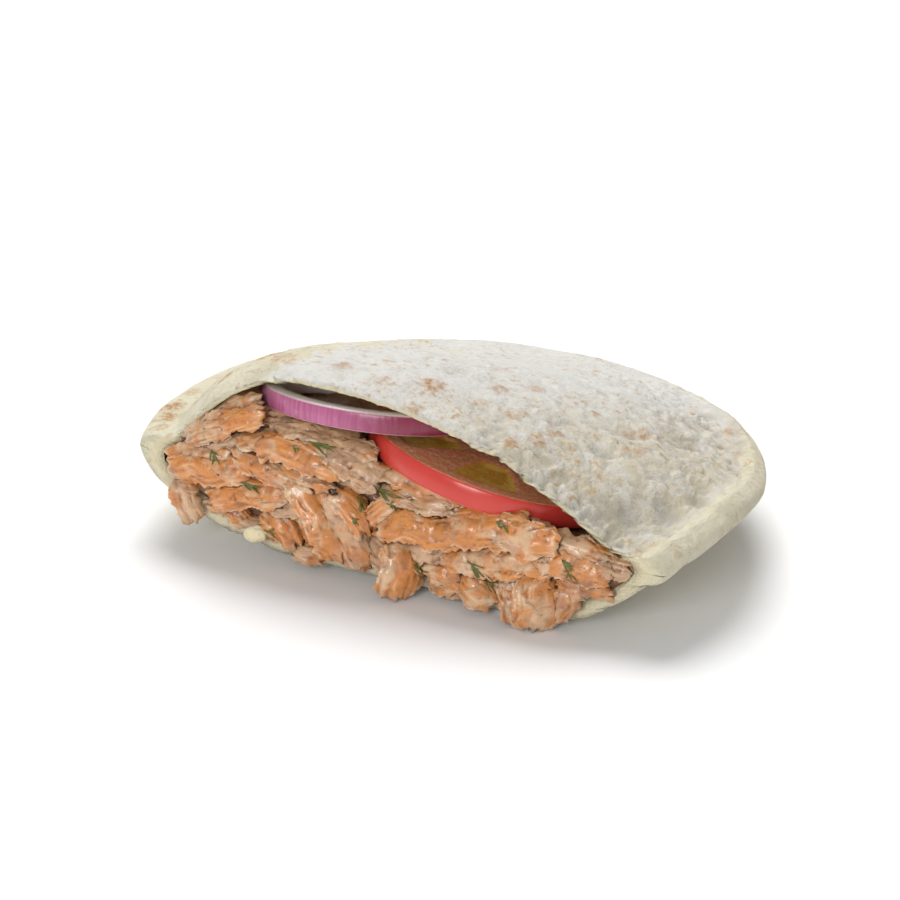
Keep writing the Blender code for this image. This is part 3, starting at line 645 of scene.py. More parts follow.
def meat_material():
    """Grilled sliced meat: tan and orange with pinkish parts, pale torn edges, moist gloss, fibre streaks
    partly painted as highlight and shade, and painted shade in splits, pits and under nearby meat.
    """
    n = Nodes("meat look")
    tone, edge, dent, fibre, nearby_meat_shade = n.fields(*MEAT_FIELDS, "nearby_meat_shade")
    tan = n.mix(n.noise(220.0, 5.0, 0.6, 0.6), (0.68, 0.375, 0.175), (0.86, 0.61, 0.39))
    orange = n.mix(n.noise(300.0, 4.0, 0.6, 0.4), (0.62, 0.185, 0.026), (0.82, 0.345, 0.080))
    hue = n.math("ADD", n.noise(120.0, 4.0, 0.6, 0.7), n.ramp(tone, 0.0, 1.0, 0.12, -0.12))
    colour = n.mix(n.ramp(hue, 0.46, 0.60), tan, orange)
    pink = n.ramp(n.noise(150.0, 3.0, 0.5, 0.3), 0.56, 0.70, 0.0, 0.40)
    colour = n.mix(pink, colour, (0.62, 0.28, 0.17))
    # Lighter on the raised fibres: partly the meat's streaky colour, partly painted highlights along them.
    streaks = n.ramp(fibre, 0.55, 0.90, 0.0, 0.55)
    colour = n.mix(streaks, colour, (0.88, 0.63, 0.40))
    # Darker in the furrows between fibres: partly the meat's streaky colour, partly painted shade.
    furrows_and_shade = n.ramp(fibre, 0.12, 0.45, 0.45, 0.0)
    colour = n.mix(furrows_and_shade, colour, (0.36, 0.145, 0.055))
    brown = n.math("MULTIPLY", tone, n.ramp(n.noise(170.0, 5.0, 0.65), 0.34, 0.58, 0.40, 1.0))
    colour = n.tint(colour, (0.27, 0.125, 0.06), brown, 0.62)
    grill = n.ramp(n.noise(85.0, 5.0, 0.7, 0.6), 0.57, 0.68, 0.0, 0.55)
    colour = n.mix(grill, colour, (0.24, 0.10, 0.045))
    pale = n.math("MULTIPLY", edge, n.ramp(n.noise(380.0, 4.0, 0.6), 0.42, 0.62))
    colour = n.tint(colour, (0.80, 0.62, 0.42), pale, 0.80)
    # Painted shade in the splits, pits and low places of the slices, and over the core behind them.
    colour = n.tint(colour, (0.20, 0.07, 0.028), dent, 0.66)
    specks = n.ramp(n.noise(1700.0, 2.0, 0.5), 0.68, 0.72)
    colour = n.tint(colour, (0.16, 0.06, 0.025), specks, 0.6)
    # Painted shade where nearby meat closes off the outlook.
    colour = n.mix(n.ramp(nearby_meat_shade, 0.32, 0.95, 0.0, 0.80), colour, (0.075, 0.024, 0.010))
    height = n.math("ADD", n.noise(900.0, 5.0, 0.65, 0.5), n.noise(2600.0, 3.0, 0.6))
    n.bump(height, 0.55, 0.0004)
    rough = n.ramp(n.noise(260.0, 3.0, 0.6), 0.38, 0.62, 0.14, 0.46)
    return n.finish(colour, rough, subsurface=0.08, radius=0.0025, coat=0.60)


def tomato_material():
    """Smooth red skin, wet flesh with paler speckles that are partly its grain and partly painted glints,
    and orange-yellow seed pockets.
    """
    n = Nodes("tomato look")
    skin, pocket = n.fields("skin", "pocket")
    flesh = n.mix(n.noise(420.0, 4.0, 0.6, 0.5), (0.96, 0.25, 0.10), (0.99, 0.46, 0.24))
    # Paler speckles on the flesh: partly its grain, partly painted glints of its wetness.
    wet = n.ramp(n.noise(1100.0, 4.0, 0.65), 0.50, 0.60, 0.0, 0.65)
    flesh = n.mix(wet, flesh, (0.99, 0.66, 0.46))
    jelly = n.mix(n.ramp(n.noise(240.0, 3.0, 0.6, 0.5), 0.40, 0.58), (0.85, 0.44, 0.06), (0.99, 0.60, 0.12))
    flesh = n.mix(n.ramp(pocket, 0.15, 0.7), flesh, jelly)
    shade = n.mix(n.noise(60.0, 3.0, 0.5), (0.56, 0.034, 0.026), (0.72, 0.068, 0.048))
    colour = n.mix(skin, flesh, shade)
    bumps = n.math("MULTIPLY", n.noise(1300.0, 4.0, 0.7), n.ramp(skin, 0.0, 1.0, 1.0, 0.04))
    n.bump(bumps, 0.9, 0.0009)
    rough = n.ramp(skin, 0.0, 1.0, 0.16, 0.28)
    return n.finish(colour, rough, subsurface=0.22, radius=0.003, coat=0.3)


def onion_material():
    """Magenta skin with upright lines, painted light on its left and painted shade on its right, pale cut
    faces and pale inner wall.
    """
    n = Nodes("onion look")
    skin, line, shade, lit_side = n.fields("skin", "line", "shade", "lit_side")
    purple = n.mix(n.ramp(line, 0.15, 0.85), (0.41, 0.082, 0.200), (0.54, 0.165, 0.320))
    # Painted light on the lower left of the skin.
    purple = n.mix(lit_side, purple, (0.55, 0.26, 0.39))
    purple = n.mix(n.ramp(n.noise(500.0, 3.0), 0.58, 0.75, 0.0, 0.3), purple, (0.66, 0.38, 0.52))
    purple = n.mix(shade, purple, (0.22, 0.014, 0.042))
    pale = n.mix(n.noise(600.0, 3.0), (0.88, 0.78, 0.75), (0.96, 0.93, 0.91))
    colour = n.mix(skin, pale, purple)
    height = n.mix(0.5, n.noise(1100.0, 3.0), line)
    n.bump(height, 0.30, 0.0003)
    return n.finish(colour, 0.30, subsurface=0.18, coat=0.15)


def garlic_material():
    """Pale yellow, moist."""
    n = Nodes("garlic look")
    colour = n.mix(n.noise(500.0, 4.0), (0.74, 0.62, 0.33), (0.84, 0.78, 0.56))
    n.bump(n.noise(900.0, 4.0), 0.4, 0.0004)
    return n.finish(colour, 0.38, subsurface=0.20, coat=0.15)


def dill_material():
    """Dark green needles."""
    n = Nodes("dill look")
    colour = n.mix(n.noise(700.0, 3.0), (0.065, 0.085, 0.010), (0.21, 0.22, 0.050))
    n.bump(n.noise(1800.0, 3.0), 0.3, 0.0002)
    return n.finish(colour, 0.36, radius=0.001, coat=0.15)


def floor_material():
    """Very pale grey, without gloss."""
    n = Nodes("floor look")
    colour = n.mix(n.noise(3.0, 2.0), (0.90, 0.90, 0.90), (0.91, 0.91, 0.91))
    return n.finish(colour, 0.9, specular=0.1)


# ---------------------------------------------------------------- bread

def section_rows(radius, chord, sections, counts, heights):
    """Sections of a disc-shaped skin from the mouth to the back, as x, y, z and rise."""
    above, below = counts
    first = math.asin(-chord / radius)
    angles = [math.pi * k / above for k in range(above)]
    angles += [math.pi + math.pi * k / below for k in range(below)]
    rows = []
    for i in range(sections):
        phi = first + (0.5 * math.pi - first) * i / sections
        y = radius * math.sin(phi)
        half = radius * math.cos(phi)
        row = []
        for turn in angles:
            x = half * math.cos(turn)
            high, low = heights(x, y)
            rise = math.sin(turn)
            if abs(rise) < 1e-9:
                row.append((x, y, 0.5 * (high + low), 0.0))
            else:
                row.append((x, y, high if rise > 0.0 else low, rise))
        rows.append(row)
    return rows


def mouth_shift(x, y, rise):
    """Moves the edge of each lip along Y so that it is ragged; fades into the pocket."""
    fade = 1.0 - smooth(-CHORD, -CHORD + 9.0, y)
    if fade <= 0.0:
        return 0.0
    inside = smooth(66.0, 60.0, abs(x))
    back = tear(x) if rise > 0.0 else lower_rag(x)
    return fade * inside * max(0.0, back) * min(1.0, 4.0 * abs(rise))


def upper_skin(x, y, z, side, streak):
    """Height of the upper layer with its relief, and the fields there."""
    radius = math.hypot(x, y)
    lumps = lump_height(x, y)
    relief = skin_relief(x, y) * (1.0 - 0.55 * smooth(66.0, 76.0, radius)) * side
    level = relief + rim_ridge(x, y) * side + 0.4 * streak * side
    level = max(level, DEEPEST + LIP_THINNING * (1.0 - smooth(-CHORD, -CHORD + LIP_REACH, y)))
    lip = 1.0 - smooth(-CHORD, -CHORD + 2.0, y)
    # How low a place lies in the valleys of the relief, which the colour takes as painted shade.
    dent = max(0.7 * smooth(-0.1, -1.0, relief - lumps), smooth(-0.2, -1.5, lumps))
    bare = max(smooth(-0.45, 0.05, relief - lumps), 1.0 - smooth(-40.0, -20.0, x))
    toast = toast_at(x, y) * bare
    fields = {
        "flour": flour_at(x, y) * side, "toast": toast, "valley_shade": dent,
        # Creamier and darker towards the front right: partly warmer bread, partly painted shade.
        "cream_and_shade": smooth(5.0, 55.0, x - 0.5 * y),
    }
    return z + level + 0.15 * toast - 0.4 * lip, fields


def lower_skin(x, y, z, side):
    """Height of the underside with its relief, and the fields there."""
    relief = 0.35 * wander(x, y, 9.0, 61.0) * side * smooth(0.3, 2.0, z)
    spot = 0.6 * smooth(0.20, 0.55, wander(x, y, 8.0, 55.0))
    spot *= 1.0 - smooth(60.0, 74.0, math.hypot(x, y))
    return z + relief, {"flour": 0.10, "toast": spot}


def make_bread(material):
    """One skin: relief outside, plain pocket inside, ragged cut edge between."""
    batch = Batch("flour", "cut", "toast", "valley_shade", "cream_and_shade")
    outer = []
    for places in section_rows(DISC_R, CHORD, BREAD_SECTIONS, BREAD_POINTS, bread_heights):
        row = []
        for x, y, z, rise in places:
            radius = math.hypot(x, y)
            side = rounded(DISC_R - radius, RIM_ROUND, 2.4)
            streak = rim_relief(x, y, z)
            push = 1.0 + 0.35 * streak * (1.0 - side) / max(radius, 1.0)
            if rise > 0.0:
                height, fields = upper_skin(x, y, z, side, streak)
            else:
                height, fields = lower_skin(x, y, z, side)
            row.append(batch.add((x * push, (y + mouth_shift(x, y, rise)) * push, height), **fields))
        outer.append(row)
    inner = []
    for places in section_rows(POCKET_R, CHORD, POCKET_SECTIONS, BREAD_POINTS, pocket_heights):
        row = []
        for x, y, z, rise in places:
            thin = LIP_THINNING * (1.0 - smooth(-CHORD, -CHORD + LIP_REACH, y)) * max(0.0, rise) ** 0.5
            row.append(batch.add((x, y + mouth_shift(x, y, rise), z + thin), cut=0.90))
        inner.append(row)
    crumb = []
    for out, inside in zip(outer[0], inner[0]):
        x, y, z = (0.5 * (a + b) for a, b in zip(batch.points[out], batch.points[inside]))
        swell = 0.30 + 0.55 * noise_at(x / 1.2, batch.points[out][2] / 3.0, 71.0)
        crumb.append(batch.add((x, y - swell, z), flour=0.1, cut=1.0))
    batch.skin(inner[::-1] + [crumb] + outer)
    batch.cap(outer[-1], (0.0, DISC_R, 0.5 * sum(bread_heights(0.0, DISC_R))), flour=0.2)
    batch.cap(inner[-1], (0.0, POCKET_R, 0.5 * sum(pocket_heights(0.0, POCKET_R))), flip=True, flour=0.2)
    batch.build("pita_bread", material, "bread", "pita")


# ---------------------------------------------------------------- meat

def core_heights(x, y):
    """Core of the heap, a little smaller than the pocket, lower at the mouth."""
    high, low = pocket_heights(x, y)
    close = rounded(CORE_R - math.hypot(x, y), POCKET_ROUND, 2.0)
    middle = 0.5 * (high + low)
    half = (0.5 * (high - low) - 0.9) * close
    high = middle + half
    under_onion = ONION_AT[2] + ONION_SLOPE[1] * (y - ONION_AT[1]) - ONION_T - 0.6
    under_tomato = TOMATO_AT[2] + TOMATO_SLOPE[0] * (x - TOMATO_AT[0])
    under_tomato += TOMATO_SLOPE[1] * (y - TOMATO_AT[1]) - TOMATO_T - 1.2
    mix = smooth(-24.0, -10.0, x)
    shelf = under_onion + (under_tomato - under_onion) * mix
    open_front = smooth(-43.0, -37.0, x) * (1.0 - smooth(46.0, 54.0, x)) * (1.0 - smooth(-8.0, 0.0, y))
    high -= open_front * max(0.0, high - shelf)
    front = 1.0 - smooth(-26.0, -14.0, y)
    high -= front * (0.9 + 0.9 * wander(x, y, 3.4, 121.0) + 0.6 * wander(x, y, 1.5, 123.0))
    return high, middle - half


def make_core(material):
    """Closed core with a rough meaty front; the slices stand in front of it."""
    batch = Batch(*MEAT_FIELDS)
    # The core is darkened as painted shade, since it lies behind the slices.
    look = {"tone": 1.0, "dent": 0.50, "fibre": 0.2}
    rows = []
    for places in section_rows(CORE_R, CHORD - CORE_SETBACK, CORE_SECTIONS, CORE_POINTS, core_heights):
        rows.append([batch.add((x, y, z), **look) for x, y, z, _ in places])
    batch.cap(rows[-1], (0.0, CORE_R, 0.5 * sum(core_heights(0.0, CORE_R))), **look)
    edge = [batch.points[v] for v in rows[0]]
    for r in range(1, CORE_RINGS):
        share = 1.0 - r / CORE_RINGS
        ring = []
        for x, y, z in edge:
            px = x * share
            pz = CORE_MIDDLE_Z + (z - CORE_MIDDLE_Z) * share
            relief = 1.1 * noise_at(px / 3.2, pz / 2.4, 81.0) + 0.7 * noise_at(px / 1.3, pz, 83.0)
            ring.append(batch.add((px, y - relief * min(1.0, r / 3.0), pz), **look))
        rows.insert(0, ring)
    batch.skin(rows)
    batch.cap(rows[0], (0.0, edge[0][1], CORE_MIDDLE_Z), flip=True, **look)
    return batch.build("meat_core", material, "meat", "meat_filling")


def hold_inside(p):
    """Keeps what lies behind the mouth inside the pocket and the rest off the floor."""
    if p.y < -CHORD - 0.5:
        p.z = max(p.z, 0.06)
        return p
    high, low = pocket_heights(p.x, min(p.y, 40.0))
    p.z = min(max(p.z, low + 0.3), high - 0.3)
    return p


def slice_frame(start, end, turn):
    """Directions of a slice: along it, out of its face and across it."""
    axis = (end - start).normalized()
    face = Vector((0.35, -0.85, 0.40))
    face = (face - axis * face.dot(axis)).normalized()
    face = Matrix.Rotation(math.radians(turn), 3, axis) @ face
    return axis, face, axis.cross(face)


def signed_power(v, power):
    """Power of a number that keeps its sign."""
    return math.copysign(abs(v) ** power, v)


def slice_relief(lane, d, seed, top):
    """Relief of a slice's face, how far its fibres stand up and how deep it lies, which the colour takes as
    painted shade.
    """
    fibre = noise_at(lane / 0.62, d / 6.5, seed + top)
    fine = noise_at(lane / 0.34, d / 3.0, seed + top)
    chunk = noise_at(lane / 3.0, d / 4.2, seed + top + 5.0)
    split = 1.0 - smooth(0.0, 0.11, abs(noise_at(lane / 1.7, d / 9.0, seed + top + 9.0)))
    split *= smooth(-0.35, 0.05, noise_at(lane / 4.0, d / 5.0, seed + 21.0))
    pit = max(0.0, noise_at(lane / 1.1, d / 1.3, seed + 13.0) - 0.28)
    relief = 0.30 * fibre + 0.12 * fine + 0.40 * chunk - 0.48 * split - 0.8 * pit
    low = 0.80 * split + 1.3 * pit + max(0.0, -0.30 * fibre) + max(0.0, -0.5 * chunk - 0.1)
    return relief, 0.5 + 0.5 * fibre + 0.3 * fine, min(1.0, low)


def torn_side(d, c, hand, seed, half):
    """Distance of a place from the slice's middle line, with a torn edge."""
    rag = 0.75 * noise_at(d / 3.1, hand, seed) + 0.62 * noise_at(d / 1.2, hand, seed)
    rag += 0.38 * noise_at(d / 0.5, hand, seed)
    rag -= 2.2 * max(0.0, noise_at(d / 2.2, hand + 3.0, seed) - 0.22)
    half *= 1.0 + 0.28 * noise_at(d / 4.6, hand, seed)
    return half * c + rag * abs(c) ** 4 * math.copysign(1.0, c)


def add_slice(batch, index, spec):
    """One slice of meat: a bent, twisted leaf with long fibres, splits and torn ends."""
    first, last, out_a, out_b, width, thick, turn, bow, tone = spec
    width *= SLICE_SPREAD
    thick *= SLICE_THIN
    start = Vector((first[0], -CHORD - out_a * SLICE_DEPTH, first[1]))
    end = Vector((last[0], -CHORD - out_b * SLICE_DEPTH, last[1]))
    axis, flat, side = slice_frame(start, end, turn)
    length = (end - start).length
    steps = max(26, int(length / SLICE_STEP))
    seed = 5.3 * index
    wedge = 0.5 * noise_at(0.5, 4.0, seed)
    rows = []
    for i in range(steps + 1):
        t = i / steps
        d = t * length
        twist = Matrix.Rotation(0.45 * noise_at(d / 13.0, 8.0, seed), 3, axis)
        face = twist @ flat
        across_dir = twist @ side
        middle = start.lerp(end, t)
        middle += flat * (bow * 4.0 * t * (1.0 - t) + 0.8 * noise_at(d / 7.0, 2.0, seed))
        middle += side * 0.14 * width * noise_at(d / 8.0, 0.0, seed)
        ends = rounded(min(t, 1.0 - t) * length, 1.6 + 0.26 * width, 1.7)
        row = []
        for a in turns(SLICE_POINTS):
            c = signed_power(math.cos(a), 0.75)
            s = signed_power(math.sin(a), 0.62)
            hand = math.copysign(7.0, c)
            across = torn_side(d, c, hand, seed, 0.5 * width * (0.45 + 0.55 * ends))
            lane = across + noise_at(d / 6.0, 3.0, seed)
            relief, fibre, low = slice_relief(lane, d, seed, math.copysign(3.0, s))
            body = 0.5 * thick * (0.30 + 0.70 * ends) * s * (1.0 - wedge * c) * (1.0 - 0.55 * c * c)
            curl = -0.07 * width * c * c * (1.0 + noise_at(d / 6.0, hand + 2.0, seed))
            fray = 2.4 * noise_at(lane, 5.0, seed) * (1.0 - ends)
            p = middle + across_dir * across
            p += face * (body + relief * abs(s) * math.copysign(1.0, s) + curl)
            p += axis * fray * (1.0 if t > 0.5 else -1.0)
            rim = max(smooth(0.82, 1.0, abs(c)), 1.0 - ends)
            # How deep a place lies, for painted shade in the splits and pits; less on the torn rim.
            look = {"tone": tone, "edge": rim, "dent": low * (1.0 - 0.5 * rim), "fibre": fibre}
            row.append(batch.add(hold_inside(p), **look))
        rows.append(row)
    batch.skin(rows, across=True)
    for row, flip in ((rows[0], False), (rows[-1], True)):
        centre = sum((Vector(batch.points[v]) for v in row), Vector()) / len(row)
        batch.cap(row, centre, flip, tone=tone, edge=1.0, fibre=0.5)


def make_slices(material):
    """All slices in two joined pieces, the left half and the right half of the mouth."""
    left = Batch(*MEAT_FIELDS)
    right = Batch(*MEAT_FIELDS)
    for index, spec in enumerate(SLICES):
        middle = 0.5 * (spec[0][0] + spec[1][0])
        add_slice(left if middle < -4.0 else right, index, spec)
    return [
        left.build("meat_slices_left", material, "meat", "meat_filling"),
        right.build("meat_slices_right", material, "meat", "meat_filling"),
    ]


def tree_of(objects):
    """Search tree over the given meshes, in working millimetres."""
    points = []
    faces = []
    for obj in objects:
        start = len(points)
        points += [(v.co - CENTRE) / MM for v in obj.data.vertices]
        faces += [tuple(start + i for i in p.vertices) for p in obj.data.polygons]
    return BVHTree.FromPolygons(points, faces)


def view_back():
    """Direction from the food to the viewer in the shown view."""
    flat = math.cos(CAMERA_RISE)
    return Vector((math.sin(CAMERA_TURN) * flat, -math.cos(CAMERA_TURN) * flat, math.sin(CAMERA_RISE)))


def surface_at(tree, x, z):
    """Point and normal where the shown side of the filling lies at x, z of the mouth."""
    back = view_back()
    start = Vector((x, -38.0, z)) + back * 30.0
    place, normal, _, _ = tree.ray_cast(start, -back, 90.0)
    if place is None:
        return None, None
    if normal.dot(back) < 0.0:
        normal = -normal
    return place, normal


def taper(size, full):
    """Half width and half height of a strand where it is this full."""
    return [middle * full + tip for middle, tip in zip(size, TIP)]


def add_strand(batch, centres, ups, radii, **values):
    """Thin tapered strand through the centres."""
    rows = []
    for i, centre in enumerate(centres):
        ahead = centres[min(i + 1, len(centres) - 1)] - centres[max(i - 1, 0)]
        ahead.normalize()
        up = (ups[i] - ahead * ups[i].dot(ahead)).normalized()
        across = ahead.cross(up)
        wide, high = radii[i]
        row = []
        for a in turns(6):
            row.append(batch.add(centre + across * wide * math.cos(a) + up * high * math.sin(a), **values))
        rows.append(row)
    batch.skin(rows)
    batch.faces.append(tuple(rows[0][::-1]))
    batch.faces.append(tuple(rows[-1]))


def shade_hidden(objects, tree):
    """Stores on each point how much of its outlook is closed off by meat nearby, which the meat's colour
    takes as painted shade.
    """
    looks = [Vector((0.0, 0.0, 1.0))]
    looks += [Vector((math.cos(a), math.sin(a), 0.55)).normalized() for a in (0.3, 1.56, 2.81, 4.07, 5.33)]
    for obj in objects:
        darkest = 0.8 if obj.name == "meat_core" else 1.5
        values = []
        for v in obj.data.vertices:
            turn = v.normal.to_track_quat("Z", "Y")
            start = (v.co - CENTRE) / MM + v.normal * 0.12
            closed = 0.0
            for look in looks:
                hit = tree.ray_cast(start, turn @ look, OUTLOOK)
                if hit[0] is not None:
                    closed += 1.0 - hit[3] / OUTLOOK
            values.append(min(1.0, darkest * closed / len(looks)))
        store(obj.data, "nearby_meat_shade", values)


def make_dill(material, tree):
    """Dill: small branching needles that lie on the meat."""
    rng = random.Random(7)
    batch = Batch()
    for (xa, za), (xb, zb) in DILL:
        stem = Vector((xb - xa, zb - za))
        length = stem.length
        needles = 3 + int(length / 1.6)
        for j in range(needles):
            t0 = 0.0 if j == 0 else rng.uniform(0.0, 0.75)
            t1 = 1.0 if j == 0 else min(1.2, t0 + rng.uniform(0.3, 0.6))
            spread = 0.0 if j == 0 else rng.choice((-1.0, 1.0)) * rng.uniform(0.25, 0.55)
            centres = []
            ups = []
            radii = []
            for i in range(NEEDLE_POINTS):
                s = i / (NEEDLE_POINTS - 1)
                t = t0 + (t1 - t0) * s
                off = spread * s ** 0.8 * min(length, 4.0)
                x = xa + stem.x * t - stem.y / max(length, 1e-6) * off
                z = za + stem.y * t + stem.x / max(length, 1e-6) * off
                place, normal = surface_at(tree, x, z)
                if place is None:
                    continue
                if centres and (place - centres[-1]).length > 1.6:
                    break
                centres.append(place + normal * 0.22)
                ups.append(normal)
                full = math.sin(math.pi * min(0.98, 0.12 + 0.86 * s)) ** 0.6
                radii.append(taper(NEEDLE, full))
            if len(centres) > 2:
                add_strand(batch, centres, ups, radii)
    batch.build("dill_needles", material, "meat")


def make_shreds(material, tree):
    """Short torn fibres and crumbs of meat on the slices."""
    rng = random.Random(11)
    batch = Batch(*MEAT_FIELDS)
    for _ in range(SHRED_TRIES):
        x = rng.uniform(-56.0, 56.0)
        z = rng.uniform(5.0, 34.0)
        place, normal = surface_at(tree, x, z)
        if place is None or place.y > -CHORD + 0.5:
            continue
        turn = rng.uniform(-0.9, 0.5)
        step = Vector((math.cos(turn), 0.0, math.sin(turn))) * rng.uniform(0.2, 0.7)
        step -= normal * step.dot(normal)
        centres = []
        radii = []
        for i in range(SHRED_POINTS):
            s = i / (SHRED_POINTS - 1)
            wave = 0.12 * noise_at(i * 0.7, x, z)
            centres.append(place + step * i + normal * (wave - 0.02))
            full = math.sin(math.pi * (0.12 + 0.80 * s)) ** 0.7
            radii.append(taper(SHRED, full))
        look = {"tone": rng.uniform(0.1, 0.9), "edge": rng.uniform(0.0, 0.4), "fibre": rng.uniform(0.2, 0.6)}
        add_strand(batch, centres, [normal] * SHRED_POINTS, radii, **look)
    batch.build("meat_shreds", material, "meat")


# ---------------------------------------------------------------- tomato, onion, garlic

def round_frame(at, slope):
    """Matrix that lays a round slice at its place and slope."""
    normal = Vector((-slope[0], -slope[1], 1.0)).normalized()
    along = Vector((1.0, 0.0, slope[0])).normalized()
    across = normal.cross(along)
    turn = Matrix((along, across, normal)).transposed().to_4x4()
    return Matrix.Translation(Vector(at)) @ turn


def tomato_radius(a):
    """Radius of the tomato slice, a little out of round."""
    return TOMATO_R * (1.0 + 0.012 * math.cos(2.0 * a + 0.5) + 0.008 * math.cos(5.0 * a))


def seed_pocket(r, a):
    """How much a place of the cut face lies in a seed pocket: 0 flesh, 1 pocket."""
    share = r / TOMATO_R
    lobe = 0.5 + 0.5 * math.cos(6.0 * (a + 1.35) + 0.5 * math.sin(2.0 * a))
    lobe = smooth(0.30, 0.62, lobe + 0.10 * noise_at(3.0 * share, a * 2.0, 5.0))
    return lobe * smooth(0.28, 0.40, share) * smooth(0.86, 0.78, share)


def cut_face_point(share, a):
    """Radius, height, skin and seed pocket of a place on the tomato's cut face."""
    r = (tomato_radius(a) - 0.7) * share
    x = r * math.cos(a)
    y = r * math.sin(a)
    deep = seed_pocket(r, a)
    grain = 0.10 * noise_at(x / 0.9, y / 0.9, 91.0) + 0.14 * noise_at(x / 2.2, y / 2.2, 93.0)
    return r, -0.12 + grain * (1.0 - deep) - 0.85 * deep, 0.0, deep


def side_point(inset, z, a):
    """Radius, height, skin and seed pocket of a place on the tomato's side."""
    r = tomato_radius(a) + inset + 0.08 * noise_at(a * 9.0, z / 3.0, 95.0)
    return r, z, 1.0 if inset > -0.45 else 0.0, 0.0


def make_tomato(material):
    """Round slice: bulging skin, wet granular flesh, sunken seed pockets."""
    lay = round_frame(TOMATO_AT, TOMATO_SLOPE)
    batch = Batch("skin", "pocket")
    rings = [lambda a, s=i / 60.0: cut_face_point(s, a) for i in range(4, 60)]
    rings += [lambda a, i=inset, z=z: side_point(i, z, a) for inset, z in TOMATO_SIDE]
    rings += [lambda a, s=s: (TOMATO_R * s, -TOMATO_T, 0.0, 0.0) for s in (0.8, 0.5, 0.2)]
    rows = []
    for ring in rings:
        row = []
        for a in turns(TOMATO_POINTS):
            r, z, skin, pocket = ring(a)
            place = lay @ Vector((r * math.cos(a), r * math.sin(a), z))
            row.append(batch.add(place, skin=skin, pocket=pocket))
        rows.append(row)
    batch.skin(rows, across=True)
    batch.cap(rows[0], lay @ Vector((0.0, 0.0, -0.1)))
    batch.cap(rows[-1], lay @ Vector((0.0, 0.0, -TOMATO_T)), flip=True)
    batch.build("tomato_round", material, "tomato", "tomato_slice")


def make_onion(material):
    """Oval ring with a ribbed magenta skin outside and pale cut faces."""
    lay = round_frame(ONION_AT, ONION_SLOPE)
    w = ONION_WALL
    t = ONION_T
    # Section round the wall: distance past the oval, height, how much it is skin
    section = [
        (-w + 0.35, 0.0, 0.0), (-0.6 * w, 0.06, 0.0), (-0.3 * w, 0.04, 0.0), (-0.45, 0.0, 0.0),
        (-0.16, -0.10, 0.4), (0.0, -0.38, 1.0), (0.10, -0.9, 1.0), (0.18, -1.7, 1.0),
        (0.20, -0.5 * t, 1.0), (0.15, -0.7 * t, 1.0), (0.04, -t + 0.7, 1.0), (-0.10, -t + 0.3, 1.0),
        (-0.32, -t + 0.06, 0.3), (-0.7, -t, 0.0), (-0.5 * w, -t, 0.0), (-w + 0.4, -t, 0.0),
        (-w + 0.1, -t + 0.4, 0.0), (-w, -0.5 * t, 0.0), (-w + 0.08, -0.4, 0.0),
    ]
    batch = Batch("skin", "line", "shade", "lit_side")
    rows = []
    for out, z, on_skin in section:
        row = []
        for a in turns(ONION_POINTS):
            line = 0.7 * noise_at(a * 34.0, z / 9.0, 101.0) + 0.6 * noise_at(a * 90.0, z / 9.0, 103.0)
            wave = 0.25 * noise_at(math.cos(a) * 1.5, math.sin(a) * 1.5, 105.0)
            extra = out + wave + 0.05 * line * on_skin
            grain = 0.06 * noise_at(a * 60.0, out, 107.0) if z > -0.2 else 0.0
            x = (ONION_A + extra) * math.cos(a)
            y = (ONION_B + extra) * math.sin(a)
            # The right of the skin is darkened as painted shade and its lower left lightened as painted
            # light.
            look = {
                "skin": on_skin, "line": 0.5 + 0.5 * line, "shade": 0.85 * smooth(-2.0, 19.0, x),
                "lit_side": 0.75 * smooth(-14.0, -25.0, x) * smooth(-t, -1.0, z),
            }
            row.append(batch.add(lay @ Vector((x, y, z + grain)), **look))
        rows.append(row)
    batch.skin(rows + rows[:1], across=True)
    batch.build("onion_round", material, "onion", "onion_ring")


def make_garlic(material):
    """Small pale piece with uneven sides."""
    tilt = Matrix.Rotation(math.radians(-12.0), 4, "Y")
    lay = Matrix.Translation(Vector(GARLIC_AT) + Vector(GARLIC_SHIFT)) @ tilt
    shift = Vector((3.0, 0.0, 0.0))
    batch = Batch()
    rows = []
    for i in range(1, GARLIC_RINGS):
        theta = math.pi * i / GARLIC_RINGS
        row = []
        for a in turns(GARLIC_POINTS):
            d = Vector((math.cos(theta), math.sin(theta) * math.cos(a), math.sin(theta) * math.sin(a)))
            swell = 0.5 * (1.0 + 0.16 * noise.noise(d * 1.8 + shift) + 0.05 * noise.noise(d * 6.0))
            place = Vector([way * size * swell for way, size in zip(d, GARLIC_SIZE)])
            row.append(batch.add(lay @ place))
        rows.append(row)
    batch.skin(rows)
    half = 0.5 * GARLIC_SIZE[0]
    batch.cap(rows[0], lay @ Vector((half, 0.0, 0.0)), flip=True)
    batch.cap(rows[-1], lay @ Vector((-half, 0.0, 0.0)))
    batch.build("garlic_bit", material, "garlic", "garlic_piece")


# ---------------------------------------------------------------- stage

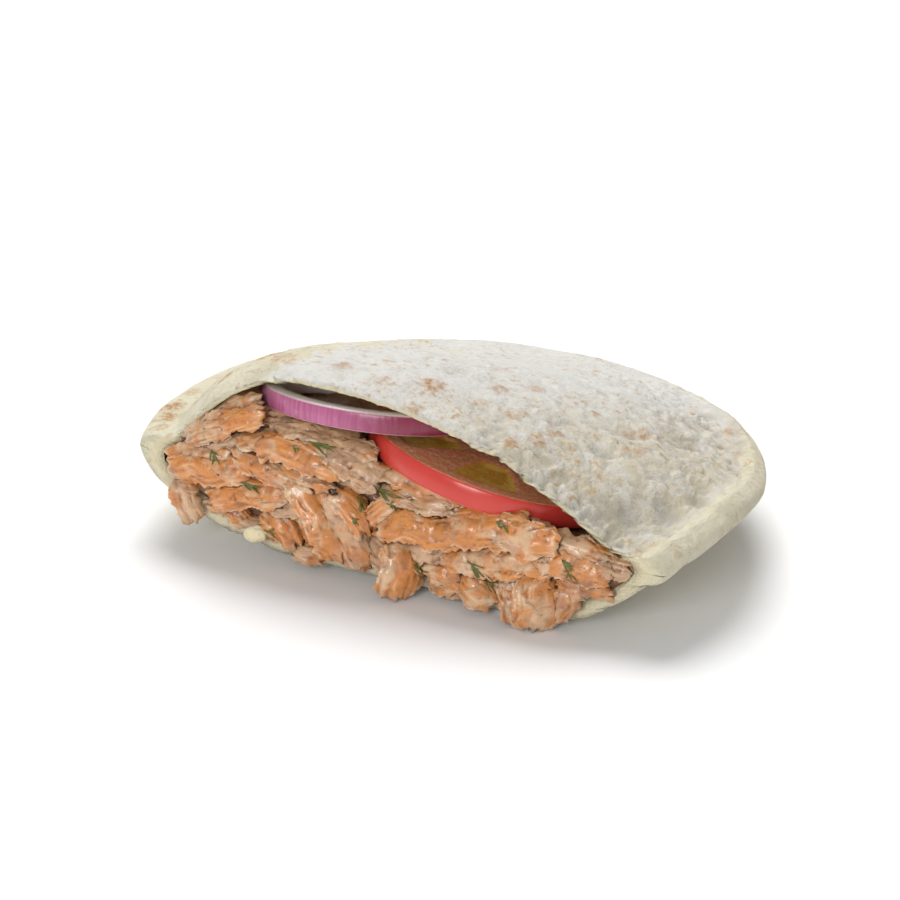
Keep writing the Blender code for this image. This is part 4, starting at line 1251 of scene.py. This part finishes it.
def make_floor():
    """Plain pale floor."""
    mesh = bpy.data.meshes.new("floor")
    h = FLOOR_HALF
    mesh.from_pydata([(-h, -h, 0.0), (h, -h, 0.0), (h, h, 0.0), (-h, h, 0.0)], [], [(0, 1, 2, 3)])
    mesh.materials.append(floor_material())
    floor = add_object("floor", mesh)


def add_light(name, place, aim, size, power):
    """Soft area light that points at aim."""
    data = bpy.data.lights.new(name, "AREA")
    data.shape = "DISK"
    data.size = size
    data.energy = power
    obj = add_object(name, data)
    obj.location = place
    obj.rotation_euler = (Vector(aim) - Vector(place)).to_track_quat("-Z", "Y").to_euler()


def make_lights():
    """Soft key from above and behind on the left, a fill from the front, an even sky."""
    aim = (0.0, 0.0, 0.02)
    add_light("key", (-0.34, 0.56, 1.20), aim, size=0.95, power=18.5)
    add_light("front fill", (0.10, -1.48, 0.72), aim, size=0.7, power=10.5)
    world = bpy.data.worlds.new("studio")
    world.use_nodes = True
    sky = world.node_tree.nodes["Background"].inputs
    sky["Color"].default_value = (1.0, 1.0, 1.0, 1.0)
    sky["Strength"].default_value = 0.36
    bpy.context.scene.world = world
    bpy.context.scene.view_settings.view_transform = "Standard"


def make_camera():
    """Camera at the shown angle, looking just over the middle of the bread."""
    back = view_back()
    right = Vector((math.cos(CAMERA_TURN), math.sin(CAMERA_TURN), 0.0))
    up = back.cross(right)
    place = CENTRE + (Vector((0.0, 0.0, RIM_Z)) + back * CAMERA_FAR + up * 1.125 - right * 0.625) * MM
    data = bpy.data.cameras.new("camera")
    data.lens = CAMERA_LENS
    data.sensor_width = 36.0
    data.clip_start = 0.01
    camera = add_object("camera", data)
    turn = Matrix((right, up, back)).transposed().to_4x4()
    camera.matrix_world = Matrix.Translation(place) @ turn
    bpy.context.scene.camera = camera


def main():
    """Camera, lights and floor, then the food from the bread out to the dill."""
    make_camera()
    make_lights()
    make_floor()
    meat = meat_material()
    make_bread(bread_material())
    core = make_core(meat)
    slices = make_slices(meat)
    make_tomato(tomato_material())
    make_onion(onion_material())
    make_garlic(garlic_material())
    tree = tree_of(slices + [core])
    shade_hidden(slices + [core], tree)
    make_dill(dill_material(), tree)
    make_shreds(meat, tree)


main()
